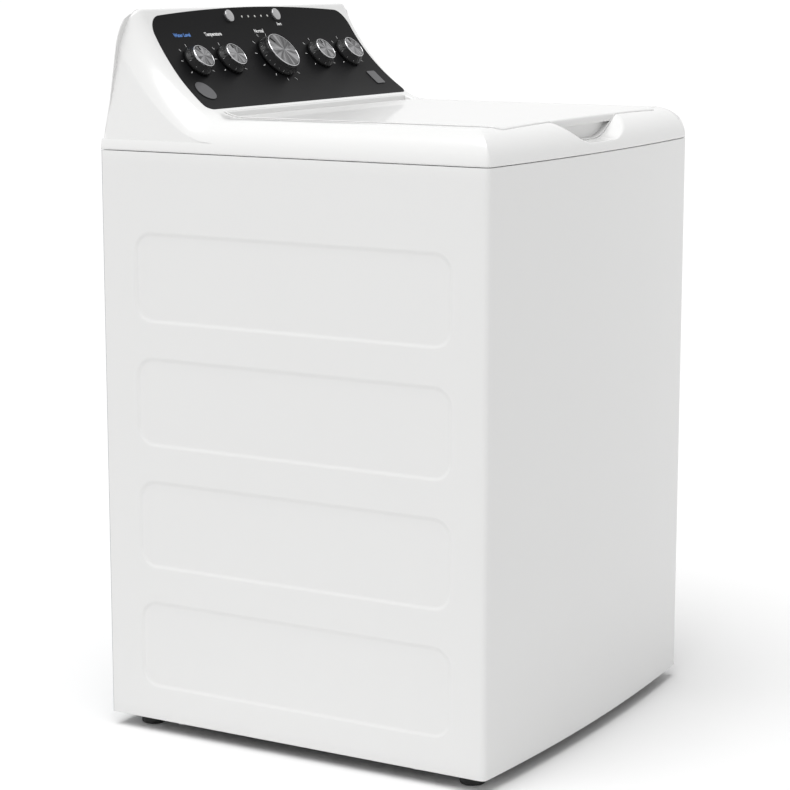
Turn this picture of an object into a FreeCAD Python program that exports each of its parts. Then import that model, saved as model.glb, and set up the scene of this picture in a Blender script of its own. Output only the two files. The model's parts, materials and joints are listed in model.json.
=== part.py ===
import FreeCAD, Part
import math
import os
from FreeCAD import Placement, Rotation, Vector

# A free-standing top load washing machine, in millimetres.
# X runs across, Y runs from front to back, Z is up. The origin is on the floor, in the middle.

# ---- Overall sizes -----------------------------------------------------------------------------
WIDTH = 686.0             # cabinet, side to side
DEPTH = 686.0             # middle of the bowed front to the ends of the hose stubs
FRONT_BOW = 16.0          # the middle of the front stands this far ahead of its corners
REAR_REACH = 5.0          # the hose stubs stand this far behind the rear panel
FLOOR_GAP = 21.0          # floor to the cabinet's lower edge
CABINET_TOP = 908.0       # floor to the cabinet's upper edge
CONSOLE_RISE = 159.0      # top cover to the top of the console

# ---- Sheet metal and mouldings -----------------------------------------------------------------
SHEET = 1.2               # cabinet steel
MOULD = 2.5               # top cover and console plastic
CORNER_R = 9.0            # front corners in plan
FLANGE = 18.0             # folded edges of the cabinet
SEAT_GAP = 0.3            # between pieces that sit side by side
RUN_GAP = 0.05            # a shaft in its bore, all round
SLIP_GAP = 1.0            # a moving piece in a loose opening

# ---- Side embossing ----------------------------------------------------------------------------
EMBOSS_COUNT = 4
EMBOSS_HEIGHT = 138.0
EMBOSS_PITCH = 191.7
EMBOSS_LOW = 53.0         # lowest emboss above the cabinet's lower edge
EMBOSS_FRONT_INSET = 56.0 # behind the front corner
EMBOSS_REAR_INSET = 59.0  # ahead of the rear panel
EMBOSS_R = 30.0
EMBOSS_DEPTH = 3.0
EMBOSS_SLOPE = 6.0

# ---- Rear panel --------------------------------------------------------------------------------
VENT_COUNT = 6
VENT_HALF = 60.0
VENT_TALL = 5.0
VENT_PITCH = 14.0
VENT_LOW = 640.0
BEAD_HALF = 250.0
BEAD_TALL = 16.0
BEAD_DEEP = 3.0
BEAD_ZS = (120.0, 420.0, 560.0, 780.0)
SCREW_R = 4.5
SCREW_HEAD = 2.2
SCREW_ZS = (90.0, 350.0, 610.0, 870.0)

# ---- Top cover ---------------------------------------------------------------------------------
SEAM = 1.0                # gap between the cabinet and the top cover
ROLL_OUT = 45.0           # the rolled edge, across
ROLL_UP = 50.0            # the rolled edge, in height
DECK_DROP = 34.0          # the shelf under the console lies this far below the top
CONSOLE_DEEP = 177.0      # console's lower lip to the rear panel
RECESS_DEPTH = 13.0       # the lid lies in this recess
LEDGE = 25.0              # the ledge that the lid rests on
COLLAR_DROP = 26.0        # the collar round the tub opening, below the ledge
OPENING_R = 118.0
TROUGH_DEPTH = 24.5       # hinge trough below the top
TROUGH_RIM = 6.0          # ledge between the opening and the trough

# ---- Lid ---------------------------------------------------------------------------------------
LID_INSET = 75.0          # lid's sides inside the cabinet's
LID_FRONT_INSET = 39.5    # lid's front edge behind the middle of the bowed front
LID_GAP = 2.5             # round the lid
LID_PROUD = 1.0           # the lid's top above the top cover
LID_THICK = 12.0
LID_SKIN = 1.5
LID_CORNER_R = 14.0
HINGE_BACK = 15.0         # hinge axis in front of the console's lip
HINGE_RELIEF = 7.5        # the wall behind the open lid is this much lower than the top
BARREL_R = 11.0
PIN_R = 4.0
PIN_FIT = 0.02            # round the pin in the top cover
PIN_IN_LID = 24.0
BARREL_WALL = 3.0
HINGE_BOSS_WALL = 4.0
HINGE_BOSS_LONG = 12.0
LINER_THICK = 2.0
LINER_UP = 1.0            # liner above the lid's lower edge
LINER_RIB_PITCH = 95.0
LINER_RIB_THICK = 3.0
LINER_RIB_END = 25.0
BUMPER_R = 6.0
BUMPER_INSET = 14.0
BUMPER_FRONT = 40.0       # front bumpers behind the lid's front edge
BUMPER_REAR_Y = 60.0
LOCK_IN = 5.0             # lock housing, from the strike towards the tub
LOCK_OUT = 16.0
LOCK_LONG = 84.0
LOCK_TALL = 30.0
LOCK_WELL = 24.0
STRIKE_GAP = 2.0          # beside the strike
STRIKE_END_GAP = 4.0
LOCK_INSET = 13.0         # strike inside the lid's edge
LOCK_Y = -150.0
STRIKE_WIDE = 4.0
STRIKE_LONG = 20.0
STRIKE_DROP = 20.0

# ---- Finger scoop in the front of the top cover ------------------------------------------------
SCOOP_TOP_HALF = 112.0
SCOOP_LOW_HALF = 62.0
SCOOP_DEPTH = 35.0
SCOOP_R = 22.0
SCOOP_BACK = 9.0          # the scoop reaches this far behind the lid's front edge

# ---- Console -----------------------------------------------------------------------------------
FACE_R = 332.0            # radius of the hollow face
FACE_LIP_UP = 6.37        # the face starts this far above the top cover
CONSOLE_EDGE = 8.53       # thickness of the console's top edge
SIDE_ROLL_OUT = 52.0
SIDE_ROLL_IN = 38.0
SIDE_INSET = 4.0          # the console's sides inside the cabinet's
BACK_LEAN = 31.0          # the console's back leans forward by this much
BACK_STEP = 3.0           # foot of the console's back, ahead of the rear panel
HOUSING_FOOT = 7.0        # the housing's floor behind its front lip

# ---- Control fascia ----------------------------------------------------------------------------
FASCIA_THICK = 3.0
FASCIA_PROUD = 0.4
FASCIA_LOW_INSET = 52.0   # fascia's lower corners inside the cabinet's sides
FASCIA_TOP_INSET = 62.0
FASCIA_LOW_UP = 13.0      # lower edge above the top cover
FASCIA_TOP_DOWN = 2.5     # middle of the upper edge below the console's top
FASCIA_CROWN = 7.0
FASCIA_CORNER = 20.0
KNOB_UP = 5.67            # along the face, above its middle
BUTTON_UP = 86.8
LAMP_UP = 85.64
BADGE_UP = -51.11
OUTER_KNOB_INSET = 69.3   # outer knobs inside the fascia's lower corners
KNOB_PITCH = 89.7
SMALL_KNOB_NAMES = ("water_level", "temperature", "options", "softener")
KNOB_SKIRT_R = 26.5
KNOB_FACE_R = 18.5
KNOB_HEIGHT = 19.5
CYCLE_SKIRT_R = 38.5
CYCLE_FACE_R = 31.0
CYCLE_HEIGHT = 22.5
SKIRT_HEIGHT = 7.0
SHAFT_R = 3.0
ENCODER = 16.0
ENCODER_DEEP = 9.0
SHAFT_CLEAR = 0.6         # round a selector's shaft in the fascia
HOUSING_CLEAR = 0.4       # holes in the housing, wider than those in the fascia
KNOB_SHAFT_UP = 7.0       # a selector's shaft ends this far below its knob's top
BUTTON_XS = (-68.0, 68.0)
BUTTON_NAMES = ("deep_fill", "start")
BUTTON_R = 10.3
BUTTON_DEEP = 7.0
BUTTON_PROUD = 4.5
BUTTON_TRAVEL = 2.0
SWITCH_HALF = 15.0        # push switch, across
SWITCH_SIDE = 5.0
SWITCH_THICK = 4.0
SWITCH_LEG = 3.0
LAMP_COUNT = 5
LAMP_PITCH = 18.6
LAMP_MIDDLE_X = 6.7
LAMP_R = 2.0
BOARD_REACH = 68.0        # circuit board beyond the inner knobs
BOARD_TALL = 60.0
ROUND_BADGE_R = 19.0
ROUND_BADGE_INSET = 33.5  # inside the fascia's lower corners
PLAIN_BADGE_INSET = 43.0
PLAIN_BADGE_WIDE = 26.0
PLAIN_BADGE_TALL = 30.0
PLAIN_BADGE_R = 3.0
BADGE_THICK = 1.0
BADGE_GAP = 0.15          # between a badge and the fascia
BOARD_THICK = 1.6
POST_REACH = 46.0         # outer posts beyond the inner knobs
BOARD_POST_R = 3.0

# ---- Tub, basket and agitator ------------------------------------------------------------------
TUB_FORWARD = 15.5        # tub's axis ahead of the cabinet's middle
TUB_SIDE_GAP = 51.0
TUB_FRONT_GAP = 40.5
TUB_WALL = 4.0
TUB_BOTTOM = 250.0
TUB_FLOOR = 6.0
TUB_RIM_DOWN = 34.5       # tub rim below the cabinet's top
RIB_HEIGHT = 18.0
RIB_COUNT = 8
RIB_THICK = 5.0
RIB_INSET = 12.0
HEM_WIDE = 6.0            # the tub's rim outside its wall
HEM_TALL = 8.0
COVER_LIP = 3.0           # the tub ring's thickness
COVER_REACH = 14.0        # the tub ring over the drum
BASKET_GAP = 22.0         # between the tub's wall and the drum
BASKET_WALL = 1.2
BASKET_BOTTOM = 290.0
BASKET_TOP_DOWN = 30.0    # top of the drum below the tub's rim
BASE_THICK = 8.0
BASE_RIM = 24.0
BASE_RIM_WALL = 3.0
BASE_HOLE_COUNT = 12
BASE_HOLE_R = 7.0
BASE_HOLE_INSET = 61.0    # holes in the floor inside the drum's wall
BALANCE_HEIGHT = 26.0
BALANCE_IN = 25.0         # balance ring inside the drum
BALANCE_LIP = 2.0         # its flange outside the drum
BALANCE_LIP_TALL = 4.0
BALANCE_ROUND = 5.0
HOLE_R = 3.0
HOLE_COLUMNS = 24
HOLE_ROWS = 6
HOLE_LOW = 60.0           # lowest row above the drum's lower edge
HOLE_HIGH = 40.0          # highest row below the balance ring
AGITATOR_R = 165.0
POST_R = 46.0
AGITATOR_FOOT_UP = 8.0    # above the basket's floor
AGITATOR_BASE_TALL = 250.0
SHAFT_END_DOWN = 30.0     # the drive shaft ends this far below the agitator's top
SKIRT_EDGE = 6.0
POST_TAPER = 4.0
VANE_COUNT = 4
VANE_THICK = 7.0
AUGER_TALL = 178.0
AUGER_R = 40.0
FLIGHT_R = 76.0
FLIGHT_THICK = 5.0
FLIGHT_PITCH = 150.0
CUP_R = 58.0
CUP_TALL = 58.0
CUP_WALL = 4.0
CUP_FLOOR = 10.0

# ---- Drive -------------------------------------------------------------------------------------
SHAFT_DRIVE_R = 10.0
SPIN_TUBE_R = 16.0
BEARING_R = 26.0
BEARING_TALL = 14.0
HUB_R = 34.0
HUB_TALL = 22.0
HUB_ARM = 14.0            # half of an arm's width
HUB_ARM_TALL = 12.0
HUB_ARM_INSET = 16.0
HOUSING_R = 55.0
HOUSING_NECK_R = 38.0
HOUSING_BOTTOM = 135.0
HOUSING_FLANGE = 12.0
HOUSING_BORE_GAP = 4.0    # between the bearings, round the spin tube
SEAL_TALL = 8.0
SEAL_INSET = 4.0
PLATE_THICK = 3.0
PLATE_HALF = 130.0
MOTOR_OFFSET = 190.0
MOTOR_R = 66.0
MOTOR_TALL = 105.0
MOTOR_ROUND = 6.0
MOTOR_SHAFT_R = 6.0
MOTOR_SHAFT_IN = 40.0
MOTOR_INSET = 10.0        # the mounting plate ends this far inside the motor's rear
BELT_Z = 97.0
BELT_WIDE = 12.0
BELT_THICK = 3.2
PULLEY_R = 84.0
MOTOR_PULLEY_R = 14.0
PULLEY_LIP = 4.0
PULLEY_RIM = 3.0          # thickness of a pulley's lips
PULLEY_HOLE_R = 15.0
PULLEY_HOLE_OUT = 50.0
PUMP_X = 195.0
PUMP_Y = -70.0
PUMP_R = 36.0
PUMP_TALL = 62.0
PUMP_DOWN = 18.0          # pump body below the tub's floor
PUMP_NECK_R = 13.0
PUMP_MOTOR_R = 26.0
PUMP_MOTOR_TALL = 30.0
PUMP_OUTLET_R = 11.0
PUMP_OUTLET_LONG = 62.0

# ---- Suspension --------------------------------------------------------------------------------
ROD_R = 5.0
ROD_INSET = 50.0          # rods from the cabinet's sides, front corners and rear
EAR_Z = 330.0
EAR_TALL = 22.0
EAR_BOSS_R = 24.0
SPRING_LENGTH = 100.0
SPRING_R = 15.0
SPRING_WIRE_R = 2.3
SPRING_TURNS = 7
CAP_R = 21.0
CAP_TALL = 6.0
BRACKET_LEG = 108.0
BRACKET_THICK = 3.0
BALL_R = 9.0
BALL_HOLE_R = 6.5

# ---- Base and feet -----------------------------------------------------------------------------
FOOT_X_INSET = 46.0
FOOT_FRONT_INSET = 44.0
FOOT_REAR_INSET = 46.0
FOOT_R = 19.0
FOOT_HOLE_R = 15.0        # in the cabinet's lower flange
FOOT_ROUND = 2.5
FOOT_PAD_TALL = 11.0
FOOT_HEX_R = 9.0
FOOT_HEX_TALL = 3.5
STUD_R = 5.0
STUD_TOP = 62.0
CORNER_PLATE = 74.0
CORNER_PLATE_THICK = 3.0
TAPPED_BOSS_R = 10.0
TAPPED_BOSS_TALL = 14.0
RAIL_WIDE = 36.0
RAIL_TALL = 30.0
RAIL_WALL = 2.0
BASE_BOLT_R = 5.5
BASE_BOLT_HEAD = 7.0
BASE_BOLT_INSET = 22.0
BASE_BOLT_YS = (-203.0, 221.0)

# ---- Water, power and fasteners ----------------------------------------------------------------
INLET_R = 13.45           # outside of a 3/4 inch garden hose thread
INLET_XS = (-235.0, -175.0)
INLET_UP = 34.0           # inlets above the console's shelf
INLET_WALL = 3.5
VALVE_HALF = 48.0
VALVE_DEEP = 40.0
VALVE_BELOW = 22.0
VALVE_ABOVE = 20.0
VALVE_INSET = 18.0        # valve's back in front of the console's back
VALVE_LEG = 20.0
SPOUT_X = -100.0
SPOUT_R = 14.0
SPOUT_PIPE_R = 11.0
SPOUT_WALL = 2.0
SPOUT_BELOW = 22.0
SPOUT_ABOVE = 26.0
LEVEL_SWITCH_X = 230.0
LEVEL_SWITCH_WIDE = 22.0
LEVEL_SWITCH_R = 24.0
LEVEL_SWITCH_UP = 38.0
LEVEL_SWITCH_INSET = 60.0 # pressure switch in front of the rear panel
DRAIN_X = 235.0
DRAIN_Z = 240.0
DRAIN_R = 15.0
DRAIN_POCKET_R = 34.0
DRAIN_POCKET_DEEP = 22.0
HOSE_R = 12.0
HOSE_WALL = 3.0
HOSE_INSIDE = 10.0        # the drain pipe inside the cabinet
CORD_X = 250.0
CORD_Z = 845.0
CORD_HOLE_R = 11.0
CORD_BORE_R = 4.5
GLAND_LONG = 12.0
GLAND_LIP = 4.0
GLAND_HEAD = 3.0
HARNESS_HOLE_R = 9.0
HARNESS_INSET = 45.0      # harness hole in front of the rear panel

# ---- Values that follow from those above -------------------------------------------------------
X_SIDE = WIDTH / 2
Y_APEX = -DEPTH / 2
Y_CORNER = Y_APEX + FRONT_BOW
Y_STUB = DEPTH / 2
Y_REAR = Y_STUB - REAR_REACH
BOW_R = (X_SIDE ** 2 + FRONT_BOW ** 2) / (2 * FRONT_BOW)
BOW_Y = Y_APEX + BOW_R
COVER_LOW = CABINET_TOP + SEAM
COVER_TOP = COVER_LOW + ROLL_UP
HEIGHT = COVER_TOP + CONSOLE_RISE
DECK_TOP = COVER_TOP - DECK_DROP
LEDGE_TOP = COVER_TOP - RECESS_DEPTH
CONSOLE_FRONT_Y = Y_REAR - CONSOLE_DEEP
LID_HALF = X_SIDE - LID_INSET
LID_FRONT_Y = Y_APEX + LID_FRONT_INSET
LOCK_X = LID_HALF - LOCK_INSET
LID_TOP = COVER_TOP + LID_PROUD
LID_LOW = LID_TOP - LID_THICK
HINGE_Y = CONSOLE_FRONT_Y - HINGE_BACK
HINGE_Z = LID_TOP - BARREL_R
RECESS_HALF = LID_HALF + LID_GAP
RECESS_FRONT = LID_FRONT_Y - LID_GAP
RECESS_REAR = CONSOLE_FRONT_Y - SEAT_GAP - MOULD
TROUGH_TOP = COVER_TOP - TROUGH_DEPTH
TROUGH_FRONT = HINGE_Y - BARREL_R - LID_GAP
SPOUT_Y = CONSOLE_FRONT_Y + HOUSING_FOOT + SPOUT_PIPE_R + SLIP_GAP
Y_BACK_FOOT = Y_REAR - BACK_STEP
FACE_LOW = (CONSOLE_FRONT_Y, COVER_TOP + FACE_LIP_UP)
FACE_HIGH = (Y_BACK_FOOT - BACK_LEAN - CONSOLE_EDGE, HEIGHT)
FACE_CHORD = math.hypot(FACE_HIGH[0] - FACE_LOW[0], FACE_HIGH[1] - FACE_LOW[1])
FACE_RISE = math.sqrt(FACE_R ** 2 - FACE_CHORD ** 2 / 4)
FACE_CENTRE_Y = (FACE_LOW[0] + FACE_HIGH[0]) / 2 - FACE_RISE * (FACE_HIGH[1] - FACE_LOW[1]) / FACE_CHORD
FACE_CENTRE_Z = (FACE_LOW[1] + FACE_HIGH[1]) / 2 + FACE_RISE * (FACE_HIGH[0] - FACE_LOW[0]) / FACE_CHORD
FACE_MIDDLE = math.degrees(math.atan2(FACE_LOW[0] - FACE_HIGH[0], FACE_HIGH[1] - FACE_LOW[1]))
KNOB_ANGLE, BUTTON_ANGLE, LAMP_ANGLE, BADGE_ANGLE = (
    FACE_MIDDLE + math.degrees(up / FACE_R) for up in (KNOB_UP, BUTTON_UP, LAMP_UP, BADGE_UP))
FASCIA_LOW_HALF = X_SIDE - FASCIA_LOW_INSET
FASCIA_TOP_HALF = X_SIDE - FASCIA_TOP_INSET
OUTER_KNOB_X = FASCIA_LOW_HALF - OUTER_KNOB_INSET
INNER_KNOB_X = OUTER_KNOB_X - KNOB_PITCH
SMALL_KNOB_XS = (-OUTER_KNOB_X, -INNER_KNOB_X, INNER_KNOB_X, OUTER_KNOB_X)
ROUND_BADGE_X = -FASCIA_LOW_HALF + ROUND_BADGE_INSET
PLAIN_BADGE_X = FASCIA_LOW_HALF - PLAIN_BADGE_INSET
BOARD_HALF = INNER_KNOB_X + BOARD_REACH
POST_XS = [side * x for side in (-1, 1) for x in (INNER_KNOB_X / 2, INNER_KNOB_X + POST_REACH)]
TUB_R = min(X_SIDE - TUB_SIDE_GAP, (Y_REAR - Y_CORNER) / 2 - TUB_FRONT_GAP)
TUB_Y = (Y_REAR + Y_CORNER) / 2 - TUB_FORWARD
BASKET_R = TUB_R - TUB_WALL - BASKET_GAP
TUB_RIM = CABINET_TOP - TUB_RIM_DOWN
BASKET_TOP = TUB_RIM - BASKET_TOP_DOWN
PLATE_TOP = TUB_BOTTOM - RIB_HEIGHT
PLATE_LOW = PLATE_TOP - PLATE_THICK
AGITATOR_FOOT = BASKET_BOTTOM + BASE_THICK + AGITATOR_FOOT_UP
AGITATOR_TOP = AGITATOR_FOOT + AGITATOR_BASE_TALL
AUGER_FOOT = AGITATOR_TOP + SLIP_GAP
AUGER_TOP = AUGER_FOOT + AUGER_TALL
MOTOR_Y = TUB_Y + MOTOR_OFFSET
SPRING_LOW = EAR_Z - SPRING_LENGTH
CAP_LOW = SPRING_LOW - CAP_TALL
ROD_TOP = CABINET_TOP - SHEET - BRACKET_THICK
BALL_Z = ROD_TOP + BRACKET_THICK + math.sqrt(BALL_R ** 2 - BALL_HOLE_R ** 2) + RUN_GAP
FEET = {
    "front_left": (-X_SIDE + FOOT_X_INSET, Y_CORNER + FOOT_FRONT_INSET),
    "front_right": (X_SIDE - FOOT_X_INSET, Y_CORNER + FOOT_FRONT_INSET),
    "rear_left": (-X_SIDE + FOOT_X_INSET, Y_REAR - FOOT_REAR_INSET),
    "rear_right": (X_SIDE - FOOT_X_INSET, Y_REAR - FOOT_REAR_INSET),
}
RODS = [(sx * (X_SIDE - ROD_INSET), y)
        for sx in (-1, 1) for y in (Y_CORNER + ROD_INSET, Y_REAR - ROD_INSET)]


# ---- Small shapes ------------------------------------------------------------------------------
def box(x0, x1, y0, y1, z0, z1):
    """A block between two corners."""
    return Part.makeBox(x1 - x0, y1 - y0, z1 - z0, Vector(x0, y0, z0))


def rod(r, z0, z1, x=0.0, y=0.0):
    """An upright cylinder."""
    return Part.makeCylinder(r, z1 - z0, Vector(x, y, z0))


def ring(outer, inner, z0, z1, x=0.0, y=0.0):
    """An upright tube."""
    return rod(outer, z0, z1, x, y).cut(rod(inner, z0 - 1, z1 + 1, x, y))


def y_rod(r, x, z, y0, y1):
    """A cylinder that runs from front to back."""
    return Part.makeCylinder(r, y1 - y0, Vector(x, y0, z), Vector(0, 1, 0))


def x_rod(r, y, z, x0, x1):
    """A cylinder that runs across."""
    return Part.makeCylinder(r, x1 - x0, Vector(x0, y, z), Vector(1, 0, 0))


def fuse(shapes):
    """Several solids as one."""
    shapes = list(shapes)
    return shapes[0].multiFuse(shapes[1:]).removeSplitter() if len(shapes) > 1 else shapes[0]


def solids(shapes):
    """Separate solids kept in one node."""
    return Part.makeCompound([s for shape in shapes for s in shape.Solids])


def slab(points, vector):
    """A flat outline pushed along a vector."""
    wire = Part.makePolygon([Vector(*p) for p in points] + [Vector(*points[0])])
    return Part.Face(wire).extrude(Vector(*vector))


def rounded_wire(u0, u1, v0, v1, r, place):
    """A rectangle with rounded corners. place turns its two coordinates into a point."""
    k = r * (1 - math.sqrt(0.5))
    edges = []
    sides = [((u0 + r, v0), (u1 - r, v0)), ((u1, v0 + r), (u1, v1 - r)),
             ((u1 - r, v1), (u0 + r, v1)), ((u0, v1 - r), (u0, v0 + r))]
    middles = [(u1 - k, v0 + k), (u1 - k, v1 - k), (u0 + k, v1 - k), (u0 + k, v0 + k)]
    for n, (start, end) in enumerate(sides):
        following = sides[(n + 1) % 4][0]
        edges.append(Part.LineSegment(place(*start), place(*end)).toShape())
        edges.append(Part.Arc(place(*end), place(*middles[n]), place(*following)).toShape())
    return Part.Wire(edges)


def rounded_block(x0, x1, y0, y1, z0, z1, r):
    """An upright block with rounded corners in plan."""
    wire = rounded_wire(x0, x1, y0, y1, r, lambda u, v: Vector(u, v, z0))
    return Part.Face(wire).extrude(Vector(0, 0, z1 - z0))


def plan_wire(inset, rear, z, corner):
    """The cabinet's outline in plan, taken in all round: bowed front, rounded front corners."""
    side = X_SIDE - inset
    bow = BOW_R - inset
    fx = side - corner
    fy = BOW_Y - math.sqrt((bow - corner) ** 2 - fx ** 2)
    ux, uy = fx / (bow - corner), (fy - BOW_Y) / (bow - corner)
    px, py = bow * ux, BOW_Y + bow * uy
    half = math.atan2(uy, ux) / 2
    mx, my = fx + corner * math.cos(half), fy + corner * math.sin(half)
    edges = [
        Part.LineSegment(Vector(-side, rear, z), Vector(-side, fy, z)),
        Part.Arc(Vector(-side, fy, z), Vector(-mx, my, z), Vector(-px, py, z)),
        Part.Arc(Vector(-px, py, z), Vector(0, Y_APEX + inset, z), Vector(px, py, z)),
        Part.Arc(Vector(px, py, z), Vector(mx, my, z), Vector(side, fy, z)),
        Part.LineSegment(Vector(side, fy, z), Vector(side, rear, z)),
        Part.LineSegment(Vector(side, rear, z), Vector(-side, rear, z)),
    ]
    return Part.Wire([e.toShape() for e in edges])


def plan_block(inset, rear, z0, z1, corner):
    """The cabinet's outline in plan, as an upright block."""
    return Part.Face(plan_wire(inset, rear, z0, corner)).extrude(Vector(0, 0, z1 - z0))


def belt_loop(r1, r2, gap, z0, z1):
    """The outline of a belt round two pulleys, as an upright block."""
    tilt = math.asin((r1 - r2) / gap)
    c, s = math.cos(tilt), math.sin(tilt)
    y1, y2 = TUB_Y, TUB_Y + gap
    a, b = Vector(r1 * c, y1 + r1 * s, z0), Vector(r2 * c, y2 + r2 * s, z0)
    d, e = Vector(-r2 * c, y2 + r2 * s, z0), Vector(-r1 * c, y1 + r1 * s, z0)
    edges = [Part.LineSegment(a, b), Part.Arc(b, Vector(0, y2 + r2, z0), d),
             Part.LineSegment(d, e), Part.Arc(e, Vector(0, y1 - r1, z0), a)]
    face = Part.Face(Part.Wire([q.toShape() for q in edges]))
    return face.extrude(Vector(0, 0, z1 - z0))


def on_face(shape, x, angle, out=0.0):
    """Stands a shape made about the Z axis on the console's hollow face."""
    a = math.radians(angle)
    reach = FACE_R - out
    point = Vector(x, FACE_CENTRE_Y + reach * math.cos(a), FACE_CENTRE_Z + reach * math.sin(a))
    moved = shape.copy()
    moved.Placement = Placement(point, Rotation(Vector(1, 0, 0), 90 + angle))
    return moved


# ---- Cabinet -----------------------------------------------------------------------------------
def emboss(side, inward):
    """One side's stamped panels as sloping-edged blocks, moved inward by a sheet's thickness."""
    made = []
    for n in range(EMBOSS_COUNT):
        low = FLOOR_GAP + EMBOSS_LOW + n * EMBOSS_PITCH
        wires = []
        for inset, deep in ((-EMBOSS_SLOPE / EMBOSS_DEPTH, -1.0), (EMBOSS_SLOPE, EMBOSS_DEPTH)):
            x = side * (X_SIDE - deep - inward)
            wires.append(rounded_wire(
                Y_CORNER + EMBOSS_FRONT_INSET + inset, Y_REAR - EMBOSS_REAR_INSET - inset,
                low + inset, low + EMBOSS_HEIGHT - inset, EMBOSS_R - inset,
                lambda u, v: Vector(x, u, v)))
        made.append(Part.makeLoft(wires, True, True))
    return made


def cabinet_wrapper():
    """Left side, bowed front and right side, folded from one sheet."""
    rear = Y_REAR - SHEET
    wall = plan_block(0, rear, FLOOR_GAP, CABINET_TOP, CORNER_R)
    wall = wall.cut(plan_block(SHEET, rear + 9, FLOOR_GAP - 1, CABINET_TOP + 1, CORNER_R - SHEET))
    corner = CORNER_R - SHEET
    flanges = []
    for z in (FLOOR_GAP, CABINET_TOP - SHEET):
        edge = plan_block(0, rear, z, z + SHEET, CORNER_R)
        flanges.append(edge.cut(plan_block(FLANGE, rear + 9, z - 1, z + SHEET + 1, corner)))
    for side in (-1, 1):
        x0, x1 = sorted((side * (X_SIDE - SHEET / 2), side * (X_SIDE - FLANGE)))
        flanges.append(box(x0, x1, rear - SHEET, rear, FLOOR_GAP, CABINET_TOP))
    shape = fuse([wall] + flanges)
    for side in (-1, 1):
        shape = shape.fuse(fuse([b.common(box(*sorted((side * (X_SIDE - SHEET / 2), 0)),
                                              Y_CORNER, Y_REAR, 0, CABINET_TOP))
                                 for b in emboss(side, SHEET)]))
        shape = shape.cut(fuse(emboss(side, 0)))
    for x, y in FEET.values():
        shape = shape.cut(rod(FOOT_HOLE_R, FLOOR_GAP - 1, FLOOR_GAP + 1.5 * SHEET, x, y))
    return shape.removeSplitter()


def rear_panel():
    """Flat steel back with a pocket for the drain, a cord hole, vents and stiffening beads."""
    half = X_SIDE - SHEET
    shape = box(-half, half, Y_REAR - SHEET, Y_REAR, FLOOR_GAP, CABINET_TOP)
    back = Y_REAR - DRAIN_POCKET_DEEP
    shape = shape.cut(y_rod(DRAIN_POCKET_R, DRAIN_X, DRAIN_Z, Y_REAR - 9, Y_REAR + 9))
    pocket = y_rod(DRAIN_POCKET_R + SHEET, DRAIN_X, DRAIN_Z, back - SHEET, Y_REAR)
    pocket = pocket.cut(y_rod(DRAIN_POCKET_R, DRAIN_X, DRAIN_Z, back, Y_REAR + 1))
    pocket = pocket.cut(y_rod(HOSE_R + RUN_GAP, DRAIN_X, DRAIN_Z, back - 9, back + 9))
    shape = shape.fuse(pocket)
    shape = shape.cut(y_rod(CORD_HOLE_R, CORD_X, CORD_Z, Y_REAR - 9, Y_REAR + 9))
    for n in range(VENT_COUNT):
        z = VENT_LOW + n * VENT_PITCH
        shape = shape.cut(box(-VENT_HALF, VENT_HALF, Y_REAR - 9, Y_REAR + 9, z, z + VENT_TALL))
    for z in BEAD_ZS:
        outer = box(-BEAD_HALF, BEAD_HALF, Y_REAR - SHEET - BEAD_DEEP, Y_REAR - SHEET / 2,
                    z, z + BEAD_TALL)
        inner = box(-BEAD_HALF + SHEET, BEAD_HALF - SHEET, Y_REAR - BEAD_DEEP, Y_REAR + 1,
                    z + SHEET, z + BEAD_TALL - SHEET)
        shape = shape.fuse(outer).cut(inner)
    return shape.removeSplitter()


def base_rails():
    """Front and rear channels that tie the cabinet's sides together."""
    made = []
    half = X_SIDE - SHEET - SEAT_GAP
    low = FLOOR_GAP + SHEET
    front = Y_CORNER + SHEET + SEAT_GAP + CORNER_PLATE
    rear = Y_REAR - FLANGE - CORNER_PLATE - RAIL_WIDE
    for y in (front, rear):
        outer = box(-half, half, y, y + RAIL_WIDE, low, low + RAIL_TALL)
        made.append(outer.cut(box(-half - 1, half + 1, y + RAIL_WALL, y + RAIL_WIDE - RAIL_WALL,
                                  low - 1, low + RAIL_TALL - RAIL_WALL)))
    return solids(made)


def corner_plates():
    """Plates on the cabinet's lower flange, each with a tapped boss for a foot."""
    made = []
    low = FLOOR_GAP + SHEET
    for x, y in FEET.values():
        side = 1 if x > 0 else -1
        edge = side * (X_SIDE - SHEET - SEAT_GAP)
        x0, x1 = sorted((edge, edge - side * CORNER_PLATE))
        if y < 0:
            y0, y1 = Y_CORNER + CORNER_R, Y_CORNER + CORNER_PLATE
        else:
            y1 = Y_REAR - 2 * SHEET - SEAT_GAP
            y0 = y1 - CORNER_PLATE
        plate = box(x0, x1, y0, y1, low, low + CORNER_PLATE_THICK)
        boss = rod(TAPPED_BOSS_R, low, low + TAPPED_BOSS_TALL, x, y)
        made.append(plate.fuse(boss).cut(rod(STUD_R + RUN_GAP, low - 1, low + 99, x, y)).removeSplitter())
    return solids(made)


def base_bolts():
    """Bolts through the lower flange, heads below it."""
    made = []
    for side in (-1, 1):
        for y in BASE_BOLT_YS:
            x = side * (X_SIDE - BASE_BOLT_INSET)
            made.append(rod(BASE_BOLT_R, FLOOR_GAP - BASE_BOLT_HEAD, FLOOR_GAP, x, y))
    return solids(made)


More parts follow.
